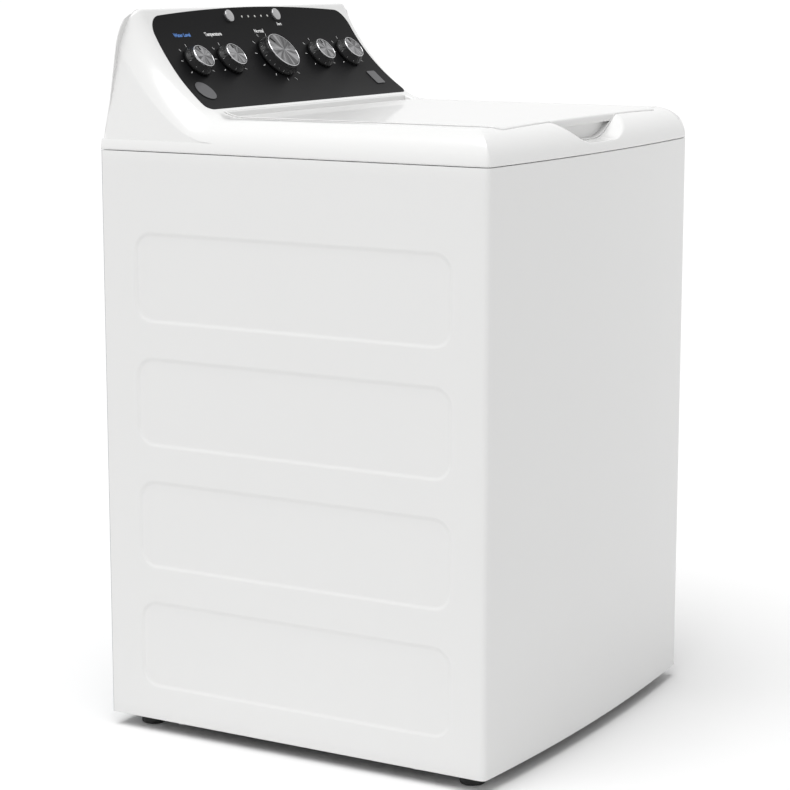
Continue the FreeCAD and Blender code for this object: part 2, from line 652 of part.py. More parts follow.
def foot(x, y):
    """Rubber-padded levelling foot on a threaded stud."""
    pad = rod(FOOT_R, 0, FOOT_PAD_TALL, x, y)
    edges = [e for e in pad.Edges if e.Closed and len(e.Vertexes) == 1]
    pad = pad.makeFillet(FOOT_ROUND, edges)
    hexagon = Part.makePolygon([Vector(x + FOOT_HEX_R * math.cos(math.radians(60 * n)),
                                       y + FOOT_HEX_R * math.sin(math.radians(60 * n)),
                                       FOOT_PAD_TALL) for n in range(7)])
    shank = Part.Face(hexagon).extrude(Vector(0, 0, FOOT_HEX_TALL))
    return fuse([pad, shank, rod(STUD_R, FOOT_PAD_TALL, STUD_TOP, x, y)])


# ---- Suspension --------------------------------------------------------------------------------
def top_corner_brackets():
    """Triangular plates under the cabinet's upper flange, each a seat for a rod."""
    made = []
    low = CABINET_TOP - SHEET - BRACKET_THICK
    for x, y in RODS:
        side = 1 if x > 0 else -1
        ex = side * (X_SIDE - SHEET - SEAT_GAP)
        if y < 0:
            ey, turn = Y_CORNER + CORNER_R, 1
        else:
            ey, turn = Y_REAR - 2 * SHEET - SEAT_GAP, -1
        plate = slab([(ex, ey, low), (ex - side * BRACKET_LEG, ey, low),
                      (ex, ey + turn * BRACKET_LEG, low)], (0, 0, BRACKET_THICK))
        made.append(plate.cut(rod(BALL_HOLE_R, low - 1, low + 9, x, y)))
    return solids(made)


def suspension_rods():
    """Steel rods that hang from ball heads and end in spring caps."""
    made = []
    for x, y in RODS:
        ball = Part.makeSphere(BALL_R, Vector(x, y, BALL_Z))
        ball = ball.cut(rod(BALL_R + 1, BALL_Z + BALL_R * 0.6, BALL_Z + 99, x, y))
        made.append(fuse([ball, rod(ROD_R, CAP_LOW, BALL_Z, x, y), rod(CAP_R, CAP_LOW, SPRING_LOW, x, y)]))
    return solids(made)


def suspension_springs():
    """Coil springs that stand on the rods' caps and carry the tub's ears."""
    made = []
    low = SPRING_LOW + SPRING_WIRE_R + SEAT_GAP
    rise = SPRING_LENGTH - 2 * SPRING_WIRE_R - 2 * SEAT_GAP
    helix = Part.makeHelix(rise / SPRING_TURNS, rise, SPRING_R)
    circle = Part.Wire(Part.makeCircle(SPRING_WIRE_R, Vector(SPRING_R, 0, 0), Vector(0, 1, 0)))
    coil = Part.Wire(helix.Edges).makePipeShell([circle], True, True)
    for x, y in RODS:
        one = coil.copy()
        one.translate(Vector(x, y, low))
        made.append(one)
    return solids(made)


# ---- Top cover ---------------------------------------------------------------------------------
def rolled_block(inset):
    """The top cover's outside, with its rolled edge. A positive inset gives its inside."""
    wires = []
    for step in range(9):
        a = math.radians(90 * step / 8)
        out = ROLL_OUT - inset
        z = COVER_LOW + (ROLL_UP - inset) * math.sin(a)
        taken = inset + out * (1 - math.cos(a))
        rear = Y_REAR - inset - 0.2 * (taken - inset)
        wires.append(plan_wire(taken, rear, z, CORNER_R))
    return Part.makeLoft(wires, True, True)


def scoop_block(grow):
    """The finger scoop, as a slab with sloping rounded sides. grow widens it by a wall."""
    top = COVER_TOP + 9
    low = COVER_TOP - SCOOP_DEPTH - grow
    wide, narrow = SCOOP_TOP_HALF + grow, SCOOP_LOW_HALF + grow
    rear = LID_FRONT_Y + SCOOP_BACK + grow
    front = Y_APEX - 9
    shape = slab([(-wide - 5, front, top), (wide + 5, front, top), (wide, front, COVER_TOP),
                  (narrow, front, low), (-narrow, front, low), (-wide, front, COVER_TOP)],
                 (0, rear - front, 0))
    lower = [e for e in shape.Edges
             if all(abs(v.Z - low) < 0.01 for v in e.Vertexes)
             and abs(e.Vertexes[0].X - e.Vertexes[1].X) < 0.01]
    return shape.makeFillet(SCOOP_R, lower)


def lid_recess(grow):
    """The space that the lid lies in, with the deeper trough for its hinge."""
    top = COVER_TOP + 9
    main = rounded_block(-RECESS_HALF - grow, RECESS_HALF + grow, RECESS_FRONT - grow, RECESS_REAR + grow,
                         LEDGE_TOP - grow, top, LID_CORNER_R + grow)
    trough = box(-RECESS_HALF - grow, RECESS_HALF + grow, TROUGH_FRONT - grow, RECESS_REAR + grow,
                 TROUGH_TOP - grow, top)
    return main.fuse(trough)


def tub_opening(grow, z0, z1):
    """The hole that laundry goes through."""
    return rounded_block(-RECESS_HALF + LEDGE - grow, RECESS_HALF - LEDGE + grow,
                         RECESS_FRONT + LEDGE - grow, TROUGH_FRONT - MOULD - TROUGH_RIM + grow,
                         z0, z1, OPENING_R + grow)


def top_cover():
    """The moulded top: rolled edge, lid recess, tub opening with collar, scoop and rear shelf."""
    deck = box(-X_SIDE - 9, X_SIDE + 9, CONSOLE_FRONT_Y - SEAT_GAP, Y_REAR + 9, DECK_TOP, COVER_TOP + 9)
    deck_in = box(-X_SIDE - 9, X_SIDE + 9, CONSOLE_FRONT_Y - SEAT_GAP - MOULD, Y_REAR + 9,
                  DECK_TOP - MOULD, COVER_TOP + 9)
    outside = rolled_block(0).cut(scoop_block(0)).cut(lid_recess(0)).cut(deck)
    inside = rolled_block(MOULD).cut(scoop_block(MOULD)).cut(lid_recess(MOULD)).cut(deck_in)
    inside = inside.cut(box(-X_SIDE, X_SIDE, Y_APEX, Y_REAR, COVER_LOW - 1, COVER_LOW).fuse(
        plan_block(MOULD, Y_REAR - MOULD, COVER_LOW, COVER_LOW + MOULD, CORNER_R).cut(
            plan_block(FLANGE, Y_REAR - FLANGE, COVER_LOW - 1, COVER_LOW + MOULD + 1, CORNER_R))))
    collar_low = LEDGE_TOP - COLLAR_DROP
    collar = tub_opening(MOULD, collar_low, LEDGE_TOP)
    shape = outside.cut(inside).fuse(collar).cut(tub_opening(0, collar_low - 1, COVER_TOP))
    for side in (-1, 1):
        x0, x1 = sorted((side * (RECESS_HALF - 1), side * (RECESS_HALF + HINGE_BOSS_LONG + 2)))
        b0, b1 = sorted((side * RECESS_HALF, side * (RECESS_HALF + HINGE_BOSS_LONG)))
        shape = shape.fuse(x_rod(PIN_R + HINGE_BOSS_WALL, HINGE_Y, HINGE_Z, b0, b1))
        shape = shape.cut(x_rod(PIN_R + PIN_FIT, HINGE_Y, HINGE_Z, x0, x1))
    shape = shape.cut(rod(SPOUT_PIPE_R + SLIP_GAP, DECK_TOP - 9, DECK_TOP + 9, SPOUT_X, SPOUT_Y))
    shape = shape.cut(rod(HARNESS_HOLE_R, DECK_TOP - 9, DECK_TOP + 9, -SPOUT_X, Y_REAR - HARNESS_INSET))
    shape = shape.cut(lock_slot(DECK_TOP, LEDGE_TOP + 1))
    shape = shape.cut(box(-RECESS_HALF, RECESS_HALF, RECESS_REAR - 1, CONSOLE_FRONT_Y,
                          COVER_TOP - HINGE_RELIEF, COVER_TOP + 9))
    return shape.removeSplitter()


# ---- Lid lock ----------------------------------------------------------------------------------
def lock_slot(z0, z1):
    """The slot that the lid's strike drops through."""
    half, end = STRIKE_WIDE / 2 + STRIKE_GAP, STRIKE_LONG / 2 + STRIKE_END_GAP
    return box(LOCK_X - half, LOCK_X + half, LOCK_Y - end, LOCK_Y + end, z0, z1)


def lid_lock():
    """Lock and switch housing, hung under the ledge."""
    top = LEDGE_TOP - MOULD
    shape = box(LOCK_X - LOCK_IN, LOCK_X + LOCK_OUT, LOCK_Y - LOCK_LONG / 2, LOCK_Y + LOCK_LONG / 2,
                top - LOCK_TALL, top)
    return shape.cut(lock_slot(top - LOCK_WELL, top + 1))


# ---- Lid ---------------------------------------------------------------------------------------
def lid_panel():
    """Painted outer lid with turned-down edges and a hinge barrel along its rear edge."""
    plate = rounded_block(-LID_HALF, LID_HALF, LID_FRONT_Y, HINGE_Y, LID_LOW, LID_TOP, LID_CORNER_R)
    plate = plate.fuse(box(-LID_HALF, LID_HALF, 0, HINGE_Y, LID_LOW, LID_TOP))
    inside = rounded_block(-LID_HALF + LID_SKIN, LID_HALF - LID_SKIN, LID_FRONT_Y + LID_SKIN,
                           HINGE_Y - BARREL_R, LID_LOW - 1, LID_TOP - LID_SKIN, LID_CORNER_R - LID_SKIN)
    barrel = x_rod(BARREL_R, HINGE_Y, HINGE_Z, -LID_HALF, LID_HALF)
    solid_end = PIN_IN_LID + 2 * BARREL_WALL
    hollow = x_rod(BARREL_R - BARREL_WALL, HINGE_Y, HINGE_Z, -LID_HALF + solid_end, LID_HALF - solid_end)
    shape = plate.cut(inside).fuse(barrel).cut(hollow)
    for side in (-1, 1):
        x0, x1 = sorted((side * (LID_HALF + 1), side * (LID_HALF - PIN_IN_LID - 1)))
        shape = shape.cut(x_rod(PIN_R + RUN_GAP, HINGE_Y, HINGE_Z, x0, x1))
    return shape.removeSplitter()


def lid_liner():
    """Inner pan of the lid with its stiffening ribs and the lock's strike."""
    gap = LID_SKIN + SEAT_GAP
    x, y0, y1 = LID_HALF - gap, LID_FRONT_Y + gap, HINGE_Y - BARREL_R - SEAT_GAP
    top = LID_TOP - LID_SKIN - SEAT_GAP
    low = LID_LOW + LINER_UP
    shape = rounded_block(-x, x, y0, y1, low, low + LINER_THICK, LID_CORNER_R - gap)
    for n in range(-2, 3):
        middle, half = n * LINER_RIB_PITCH, LINER_RIB_THICK / 2
        shape = shape.fuse(box(middle - half, middle + half, y0 + LINER_RIB_END, y1 - LINER_RIB_END,
                               low, top))
    strike = box(LOCK_X - STRIKE_WIDE / 2, LOCK_X + STRIKE_WIDE / 2, LOCK_Y - STRIKE_LONG / 2,
                 LOCK_Y + STRIKE_LONG / 2, low - STRIKE_DROP, low + 1)
    return shape.fuse(strike).removeSplitter()


def lid_bumpers():
    """Rubber buttons that the lid rests on."""
    x = LID_HALF - BUMPER_INSET
    return solids([rod(BUMPER_R, LEDGE_TOP + SEAT_GAP, LID_LOW + LINER_UP, side * x, y)
                   for side in (-1, 1) for y in (LID_FRONT_Y + BUMPER_FRONT, BUMPER_REAR_Y)])


def hinge_pins():
    """Steel pins in the top cover that carry the lid."""
    return solids([x_rod(PIN_R, HINGE_Y, HINGE_Z, *sorted((side * (LID_HALF - PIN_IN_LID),
                                                         side * (RECESS_HALF + HINGE_BOSS_LONG))))
                   for side in (-1, 1)])


# ---- Console -----------------------------------------------------------------------------------
def console_section(x, sink, back_y, lean):
    """One upright front-to-back slice of the console, its outside sunk by the side roll."""
    r = FACE_R + sink
    low = DECK_TOP
    top = HEIGHT - sink
    y0 = CONSOLE_FRONT_Y
    lip = FACE_CENTRE_Z - math.sqrt(r ** 2 - (y0 - FACE_CENTRE_Y) ** 2)
    if lip < low + 2:
        lip = low + 2
        y0 = FACE_CENTRE_Y + math.sqrt(r ** 2 - (lip - FACE_CENTRE_Z) ** 2)
    y_top = FACE_CENTRE_Y + math.sqrt(r ** 2 - (top - FACE_CENTRE_Z) ** 2)
    a0 = math.atan2(lip - FACE_CENTRE_Z, y0 - FACE_CENTRE_Y)
    a1 = math.atan2(top - FACE_CENTRE_Z, y_top - FACE_CENTRE_Y)
    am = (a0 + a1) / 2
    mid = Vector(x, FACE_CENTRE_Y + r * math.cos(am), FACE_CENTRE_Z + r * math.sin(am))
    back_top = back_y - lean * (top - low) / (HEIGHT - low)
    back_top = max(back_top, y_top + 4)
    edges = [
        Part.LineSegment(Vector(x, back_y, low), Vector(x, y0, low)),
        Part.LineSegment(Vector(x, y0, low), Vector(x, y0, lip)),
        Part.Arc(Vector(x, y0, lip), mid, Vector(x, y_top, top)),
        Part.LineSegment(Vector(x, y_top, top), Vector(x, back_top, top)),
        Part.LineSegment(Vector(x, back_top, top), Vector(x, back_y, low)),
    ]
    return Part.Wire([e.toShape() for e in edges])


def console_block(inset, back_shift):
    """The console's outside, its sides rolled over. A positive inset gives its inside."""
    side = X_SIDE - SIDE_INSET - inset
    out = SIDE_ROLL_OUT - inset
    wires = []
    steps = 6
    stations = [(-1, n) for n in range(steps, -1, -1)] + [(1, n) for n in range(steps + 1)]
    for hand, n in stations:
        a = math.radians(90 * n / steps)
        x = (side - out) + out * math.sin(a)
        sink = inset + (SIDE_ROLL_IN - inset) * (1 - math.cos(a))
        wires.append(console_section(hand * x, sink, Y_BACK_FOOT + back_shift, BACK_LEAN))
    return Part.makeLoft(wires, True, True)


def fascia_prism(grow, deep, proud):
    """The fascia's outline seen from the front, cut to the hollow face between two radii."""
    low = COVER_TOP + FASCIA_LOW_UP - grow
    top = HEIGHT - FASCIA_TOP_DOWN + grow
    side_top = top - FASCIA_CROWN
    wl, wt = FASCIA_LOW_HALF + grow, FASCIA_TOP_HALF + grow
    r = FASCIA_CORNER
    y0, y1 = CONSOLE_FRONT_Y, Y_REAR
    k = r * 0.3
    edges = [
        Part.LineSegment(Vector(-wl, y0, low), Vector(wl, y0, low)),
        Part.LineSegment(Vector(wl, y0, low), Vector(wt, y0, side_top - r)),
        Part.Arc(Vector(wt, y0, side_top - r), Vector(wt - k, y0, side_top - k),
                 Vector(wt - r, y0, side_top)),
        Part.Arc(Vector(wt - r, y0, side_top), Vector(0, y0, top), Vector(-wt + r, y0, side_top)),
        Part.Arc(Vector(-wt + r, y0, side_top), Vector(-wt + k, y0, side_top - k),
                 Vector(-wt, y0, side_top - r)),
        Part.LineSegment(Vector(-wt, y0, side_top - r), Vector(-wl, y0, low)),
    ]
    outline = Part.Face(Part.Wire([e.toShape() for e in edges])).extrude(Vector(0, y1 - y0, 0))
    half = X_SIDE
    outer = x_rod(FACE_R + deep, FACE_CENTRE_Y, FACE_CENTRE_Z, -half, half)
    inner = x_rod(FACE_R - proud, FACE_CENTRE_Y, FACE_CENTRE_Z, -half - 1, half + 1)
    return outline.common(outer.cut(inner))


def face_openings(grow):
    """Holes through the console's face for knob shafts, buttons and lamps."""
    cuts = []
    reach = 14.0
    for x in SMALL_KNOB_XS + (0.0,):
        cuts.append(on_face(rod(SHAFT_R + SHAFT_CLEAR + grow, -reach, reach), x, KNOB_ANGLE))
    for x in BUTTON_XS:
        cuts.append(on_face(rod(BUTTON_R + SEAT_GAP + grow, -reach, reach), x, BUTTON_ANGLE))
    for x in lamp_xs():
        cuts.append(on_face(rod(LAMP_R + grow, -reach, reach), x, LAMP_ANGLE))
    return cuts


def lamp_xs():
    """Places of the indicator lamps."""
    return [LAMP_MIDDLE_X + (n - (LAMP_COUNT - 1) / 2) * LAMP_PITCH for n in range(LAMP_COUNT)]


def console_housing():
    """White moulded console, open at the back, with a pocket for the fascia."""
    shell = console_block(0, 0)
    floor_cut = box(-X_SIDE + SIDE_ROLL_OUT, X_SIDE - SIDE_ROLL_OUT, CONSOLE_FRONT_Y + HOUSING_FOOT, Y_REAR,
                    DECK_TOP - 1, DECK_TOP + 9)
    hollow = console_block(MOULD, BACK_LEAN).cut(
        box(-X_SIDE, X_SIDE, 0, Y_REAR + 99, DECK_TOP - 9, DECK_TOP + MOULD))
    rib = fascia_prism(4, FASCIA_THICK + SEAT_GAP + MOULD, 0).common(shell)
    shape = shell.cut(hollow).fuse(rib)
    shape = shape.cut(fascia_prism(SEAT_GAP, FASCIA_THICK + SEAT_GAP, 9)).cut(floor_cut)
    for tool in face_openings(HOUSING_CLEAR):
        shape = shape.cut(tool)
    return shape.removeSplitter()


def control_fascia():
    """Dark curved control panel."""
    shape = fascia_prism(0, FASCIA_THICK, FASCIA_PROUD)
    for tool in face_openings(0.0):
        shape = shape.cut(tool)
    return shape.removeSplitter()


def badge_plates():
    """A round and a rectangular plate at the foot of the fascia, curved to lie on it."""
    made = []
    wide, tall, deep = PLAIN_BADGE_WIDE / 2, PLAIN_BADGE_TALL / 2, 5 * BADGE_THICK
    plain = rounded_block(-wide, wide, -tall, tall, -deep, deep, PLAIN_BADGE_R)
    back = FACE_R - FASCIA_PROUD - BADGE_GAP
    skin = x_rod(back, FACE_CENTRE_Y, FACE_CENTRE_Z, -X_SIDE, X_SIDE).cut(
        x_rod(back - BADGE_THICK, FACE_CENTRE_Y, FACE_CENTRE_Z, -X_SIDE, X_SIDE))
    for x, shape in ((ROUND_BADGE_X, rod(ROUND_BADGE_R, -deep, deep)), (PLAIN_BADGE_X, plain)):
        made.append(on_face(shape, x, BADGE_ANGLE).common(skin))
    return solids(made)


def knob(x, skirt_r, face_r, height):
    """Turning knob: skirt, tapered grip, raised face and pointer notch, on the selector's shaft."""
    low, grip = FASCIA_PROUD + SLIP_GAP + skirt_r ** 2 / (2 * FACE_R), SKIRT_HEIGHT
    shape = rod(skirt_r, low, grip - 2)
    shape = shape.fuse(Part.makeCone(skirt_r, face_r + 2, height - grip - 2, Vector(0, 0, grip - 2)))
    shape = shape.fuse(rod(face_r, height - grip - 4, height))
    shape = shape.cut(box(-1.2, 1.2, face_r * 0.6, face_r + 1, height - 1, height + 1))
    shape = shape.cut(rod(SHAFT_R + RUN_GAP, low - 1, height - KNOB_SHAFT_UP + SLIP_GAP))
    return on_face(shape.removeSplitter(), x, KNOB_ANGLE)


def push_button(x):
    """Silver push button with a guide that reaches its switch."""
    return on_face(rod(BUTTON_R, -BUTTON_DEEP, BUTTON_PROUD), x, BUTTON_ANGLE)


def lamps():
    """Indicator lamps set into the fascia."""
    return solids([on_face(rod(LAMP_R - SEAT_GAP, -FASCIA_THICK - MOULD, FASCIA_PROUD), x, LAMP_ANGLE)
                   for x in lamp_xs()])


def selectors():
    """Rotary selectors behind the fascia, with their shafts."""
    made = []
    back = -(FASCIA_THICK + SEAT_GAP + MOULD + SEAT_GAP)
    for x in SMALL_KNOB_XS + (0.0,):
        half = ENCODER / 2
        body = box(-half, half, -half, half, back - ENCODER_DEEP, back)
        tall = (CYCLE_HEIGHT if x == 0.0 else KNOB_HEIGHT) - KNOB_SHAFT_UP
        made.append(on_face(fuse([body, rod(SHAFT_R, back - 1, tall)]), x, KNOB_ANGLE))
    return solids(made)


def button_switches():
    """Push switches behind the two buttons, on legs that stand on the housing's inner face."""
    made = []
    top = -BUTTON_DEEP - BUTTON_TRAVEL - SEAT_GAP
    seat = -(FASCIA_THICK + SEAT_GAP + MOULD + SEAT_GAP)
    parts = [box(-SWITCH_HALF, SWITCH_HALF, -SWITCH_SIDE, SWITCH_SIDE, top - SWITCH_THICK, top)]
    for side in (-1, 1):
        x0, x1 = sorted((side * SWITCH_HALF, side * (SWITCH_HALF - SWITCH_LEG)))
        parts.append(box(x0, x1, -SWITCH_SIDE, SWITCH_SIDE, top - 1, seat))
    for x in BUTTON_XS:
        made.append(on_face(fuse(parts), x, BUTTON_ANGLE))
    return solids(made)


def control_board():
    """Circuit board behind the selectors."""
    back = -(FASCIA_THICK + SEAT_GAP + MOULD + 2 * SEAT_GAP + ENCODER_DEEP)
    half = BOARD_HALF
    board = on_face(box(-half, half, -BOARD_TALL / 2, BOARD_TALL / 2, back - BOARD_THICK, back),
                    0, KNOB_ANGLE)
    seat = -(FASCIA_THICK + SEAT_GAP + MOULD) - RUN_GAP
    posts = [on_face(rod(BOARD_POST_R, back, seat), x, KNOB_ANGLE) for x in POST_XS]
    return fuse([board] + posts)


def console_rear_cover():
    """Steel plate that closes the back of the console."""
    low = DECK_TOP + MOULD + SEAT_GAP
    slope = BACK_LEAN / (HEIGHT - DECK_TOP)
    y0 = Y_BACK_FOOT - SLIP_GAP - slope * (low - DECK_TOP)
    y1 = y0 - slope * (HEIGHT - low)
    sheet = slab([(-X_SIDE, y0, low), (-X_SIDE, y0 - SHEET, low), (-X_SIDE, y1 - SHEET, HEIGHT),
                  (-X_SIDE, y1, HEIGHT)], (WIDTH, 0, 0))
    shape = sheet.common(console_block(MOULD + SEAT_GAP, BACK_LEAN))
    for x in INLET_XS:
        shape = shape.cut(y_rod(INLET_R + SLIP_GAP, x, DECK_TOP + INLET_UP, y1 - 9, y0 + 9))
    return shape


# ---- Water and power ---------------------------------------------------------------------------
def inlet_valve():
    """Hot and cold inlet valve behind the console, with two hose stubs."""
    z = DECK_TOP + INLET_UP
    mid = sum(INLET_XS) / 2
    back = Y_BACK_FOOT - VALVE_INSET
    shape = box(mid - VALVE_HALF, mid + VALVE_HALF, back - VALVE_DEEP, back,
                z - VALVE_BELOW, z + VALVE_ABOVE)
    parts = [shape, box(mid - VALVE_LEG / 2, mid + VALVE_LEG / 2, back - 0.9 * VALVE_DEEP,
                        back - 0.15 * VALVE_DEEP, DECK_TOP, z)]
    for x in INLET_XS:
        parts.append(y_rod(INLET_R, x, z, back - 2, Y_STUB))
    body = fuse(parts)
    for x in INLET_XS:
        body = body.cut(y_rod(INLET_R - INLET_WALL, x, z, back - VALVE_DEEP * 0.4, Y_STUB + 1))
    return body


def water_spout():
    """Spout that lets water down into the tub, below the shelf."""
    low = DECK_TOP - MOULD
    pipe = rod(SPOUT_PIPE_R, low - 1, DECK_TOP + SPOUT_ABOVE, SPOUT_X, SPOUT_Y)
    shape = rod(SPOUT_R, low - SPOUT_BELOW, low, SPOUT_X, SPOUT_Y).fuse(pipe)
    return shape.cut(rod(SPOUT_PIPE_R - SPOUT_WALL, low - SPOUT_BELOW - 1, DECK_TOP + SPOUT_ABOVE + 1,
                         SPOUT_X, SPOUT_Y))


def pressure_switch():
    """Water level switch inside the console."""
    y, z = Y_REAR - LEVEL_SWITCH_INSET, DECK_TOP + LEVEL_SWITCH_UP
    x, leg = LEVEL_SWITCH_X, LEVEL_SWITCH_WIDE / 4
    return fuse([x_rod(LEVEL_SWITCH_R, y, z, x, x + LEVEL_SWITCH_WIDE),
                 box(x + leg, x + 3 * leg, y - 1.5 * leg, y + 1.5 * leg, DECK_TOP, z)])


def power_gland():
    """Strain relief in the rear panel, where the mains cord enters."""
    inner = Y_REAR + GLAND_HEAD - GLAND_LONG
    shape = y_rod(CORD_HOLE_R - RUN_GAP, CORD_X, CORD_Z, inner, Y_REAR)
    shape = shape.fuse(y_rod(CORD_HOLE_R + GLAND_LIP, CORD_X, CORD_Z, Y_REAR, Y_REAR + GLAND_HEAD))
    return shape.cut(y_rod(CORD_BORE_R, CORD_X, CORD_Z, inner - 1, Y_REAR + 9)).removeSplitter()


def drain_spigot():
    """Drain outlet in its pocket, a pipe for the drain hose."""
    back = Y_REAR - DRAIN_POCKET_DEEP
    shape = y_rod(HOSE_R, DRAIN_X, DRAIN_Z, back - SHEET - HOSE_INSIDE, back + 1)
    shape = shape.fuse(y_rod(DRAIN_R, DRAIN_X, DRAIN_Z, back, Y_REAR))
    return shape.cut(y_rod(HOSE_R - HOSE_WALL, DRAIN_X, DRAIN_Z, back - 2 * HOSE_INSIDE,
                           Y_REAR + 1)).removeSplitter()


def rear_screws():
    """Screws along the edges of the rear panel."""
    x = X_SIDE - FLANGE / 2
    return solids([y_rod(SCREW_R, side * x, z, Y_REAR, Y_REAR + SCREW_HEAD)
                   for side in (-1, 1) for z in SCREW_ZS])


# ---- Tub ---------------------------------------------------------------------------------------
def ears(r_hole):
    """Arms from the tub's wall to the suspension rods."""
    made = []
    for x, y in RODS:
        dx, dy = x, y - TUB_Y
        length = math.hypot(dx, dy)
        boss = rod(EAR_BOSS_R, EAR_Z, EAR_Z + EAR_TALL, x, y)
        arm = box(TUB_R - TUB_WALL / 2, length, -EAR_BOSS_R * 0.7, EAR_BOSS_R * 0.7, EAR_Z, EAR_Z + EAR_TALL)
        arm.rotate(Vector(0, 0, 0), Vector(0, 0, 1), math.degrees(math.atan2(dy, dx)))
        arm.translate(Vector(0, TUB_Y, 0))
        made.append(boss.fuse(arm).cut(rod(r_hole, EAR_Z - 1, EAR_Z + 99, x, y)))
    return made


def outer_tub():
    """Plastic tub with radial ribs under its floor and four ears for the suspension."""
    wall = ring(TUB_R, TUB_R - TUB_WALL, TUB_BOTTOM, TUB_RIM, 0, TUB_Y)
    floor = rod(TUB_R - TUB_WALL / 2, TUB_BOTTOM, TUB_BOTTOM + TUB_FLOOR, 0, TUB_Y)
    hem = ring(TUB_R + HEM_WIDE, TUB_R - 1, TUB_RIM - HEM_TALL, TUB_RIM, 0, TUB_Y)
    parts = [wall, floor, hem] + ears(ROD_R + SLIP_GAP)
    for n in range(RIB_COUNT):
        rib = box(HOUSING_NECK_R + 3, TUB_R - RIB_INSET, -RIB_THICK / 2, RIB_THICK / 2,
                  PLATE_TOP, TUB_BOTTOM + 1)
        rib.rotate(Vector(0, 0, 0), Vector(0, 0, 1), 360.0 * (n + 0.5) / RIB_COUNT)
        rib.translate(Vector(0, TUB_Y, 0))
        parts.append(rib)
    shape = fuse(parts)
    return shape.cut(rod(HOUSING_NECK_R + SEAT_GAP, PLATE_TOP - 1, TUB_BOTTOM + TUB_FLOOR + 1, 0, TUB_Y))


def tub_ring():
    """Ring that covers the gap between the tub and the drum."""
    low, high, hem = TUB_RIM, TUB_RIM + COVER_LIP, TUB_R + HEM_WIDE
    shape = ring(hem, BASKET_R - COVER_REACH, low, high, 0, TUB_Y)
    skirt = ring(hem + COVER_LIP, hem + SEAT_GAP, low - HEM_TALL, high, 0, TUB_Y)
    bridge = ring(hem + COVER_LIP - 1, hem - 2, low + 1, high, 0, TUB_Y)
    return shape.fuse(skirt).fuse(bridge).removeSplitter()


def shaft_housing():
    """Cast housing of the shaft bearings, bolted to the mounting plate."""
    top = TUB_BOTTOM + TUB_FLOOR - 1
    shape = rod(HOUSING_NECK_R, HOUSING_BOTTOM, top, 0, TUB_Y)
    shape = shape.fuse(rod(HOUSING_R, PLATE_LOW - HOUSING_FLANGE, PLATE_LOW, 0, TUB_Y))
    shape = shape.cut(rod(SPIN_TUBE_R + HOUSING_BORE_GAP, HOUSING_BOTTOM - 1, top + 1, 0, TUB_Y))
    for low in (HOUSING_BOTTOM, top - BEARING_TALL):
        shape = shape.cut(rod(BEARING_R + RUN_GAP, low - 1, low + BEARING_TALL + 1, 0, TUB_Y))
    return shape.removeSplitter()


def bearings():
    """Upper and lower bearings of the spin tube."""
    top = TUB_BOTTOM + TUB_FLOOR - 1
    return solids([ring(BEARING_R, SPIN_TUBE_R + RUN_GAP, low, low + BEARING_TALL, 0, TUB_Y)
                   for low in (HOUSING_BOTTOM + 1, top - BEARING_TALL)])


def tub_seal():
    """Rubber water seal round the spin tube."""
    low = TUB_BOTTOM + TUB_FLOOR - 1 + RUN_GAP
    return ring(HOUSING_NECK_R - SEAL_INSET, SPIN_TUBE_R + RUN_GAP, low, low + SEAL_TALL, 0, TUB_Y)


def mounting_plate():
    """Steel plate under the tub that carries the housing, the motor and the pump."""
    y0, y1 = TUB_Y - PLATE_HALF, MOTOR_Y + MOTOR_R - MOTOR_INSET
    shape = box(-PLATE_HALF, PLATE_HALF, y0, y1, PLATE_LOW, PLATE_TOP)
    shape = shape.cut(rod(HOUSING_NECK_R + SEAT_GAP, PLATE_LOW - 1, PLATE_TOP + 1, 0, TUB_Y))
    return shape


def motor():
    """Drive motor, its shaft end bushed in the lower cover."""
    top = PLATE_LOW
    body = rod(MOTOR_R, top - MOTOR_TALL, top, 0, MOTOR_Y)
    body = body.makeFillet(MOTOR_ROUND, [e for e in body.Edges if e.Closed and len(e.Vertexes) == 1
                                         and abs(e.CenterOfMass.z - top) > 1])
    return body.cut(rod(MOTOR_SHAFT_R + RUN_GAP, top - MOTOR_TALL - 1, top - MOTOR_TALL + MOTOR_SHAFT_IN,
                        0, MOTOR_Y))


def flanged_pulley(r, bore, y):
    """Flat pulley with a lip above and below its belt."""
    half = BELT_WIDE / 2 + 1
    shape = rod(r, BELT_Z - half - PULLEY_RIM, BELT_Z + half + PULLEY_RIM, 0, y)
    for low in (BELT_Z - half - PULLEY_RIM, BELT_Z + half):
        shape = shape.fuse(rod(r + PULLEY_LIP, low, low + PULLEY_RIM, 0, y))
    return shape.cut(rod(bore, BELT_Z - 99, BELT_Z + 99, 0, y)) if bore else shape


def motor_pulley():
    """Small pulley with the motor's shaft."""
    top = PLATE_LOW - MOTOR_TALL + MOTOR_SHAFT_IN - 2 * SLIP_GAP
    shaft = rod(MOTOR_SHAFT_R, BELT_Z, top, 0, MOTOR_Y)
    return flanged_pulley(MOTOR_PULLEY_R, 0, MOTOR_Y).fuse(shaft).removeSplitter()


def drive_pulley():
    """Large pulley on the agitator's shaft, with lightening holes."""
    shape = flanged_pulley(PULLEY_R, SHAFT_DRIVE_R, TUB_Y)
    for n in range(6):
        a = math.radians(60 * n)
        x, y = PULLEY_HOLE_OUT * math.cos(a), TUB_Y + PULLEY_HOLE_OUT * math.sin(a)
        shape = shape.cut(rod(PULLEY_HOLE_R, BELT_Z - 99, BELT_Z + 99, x, y))
    return shape.removeSplitter()


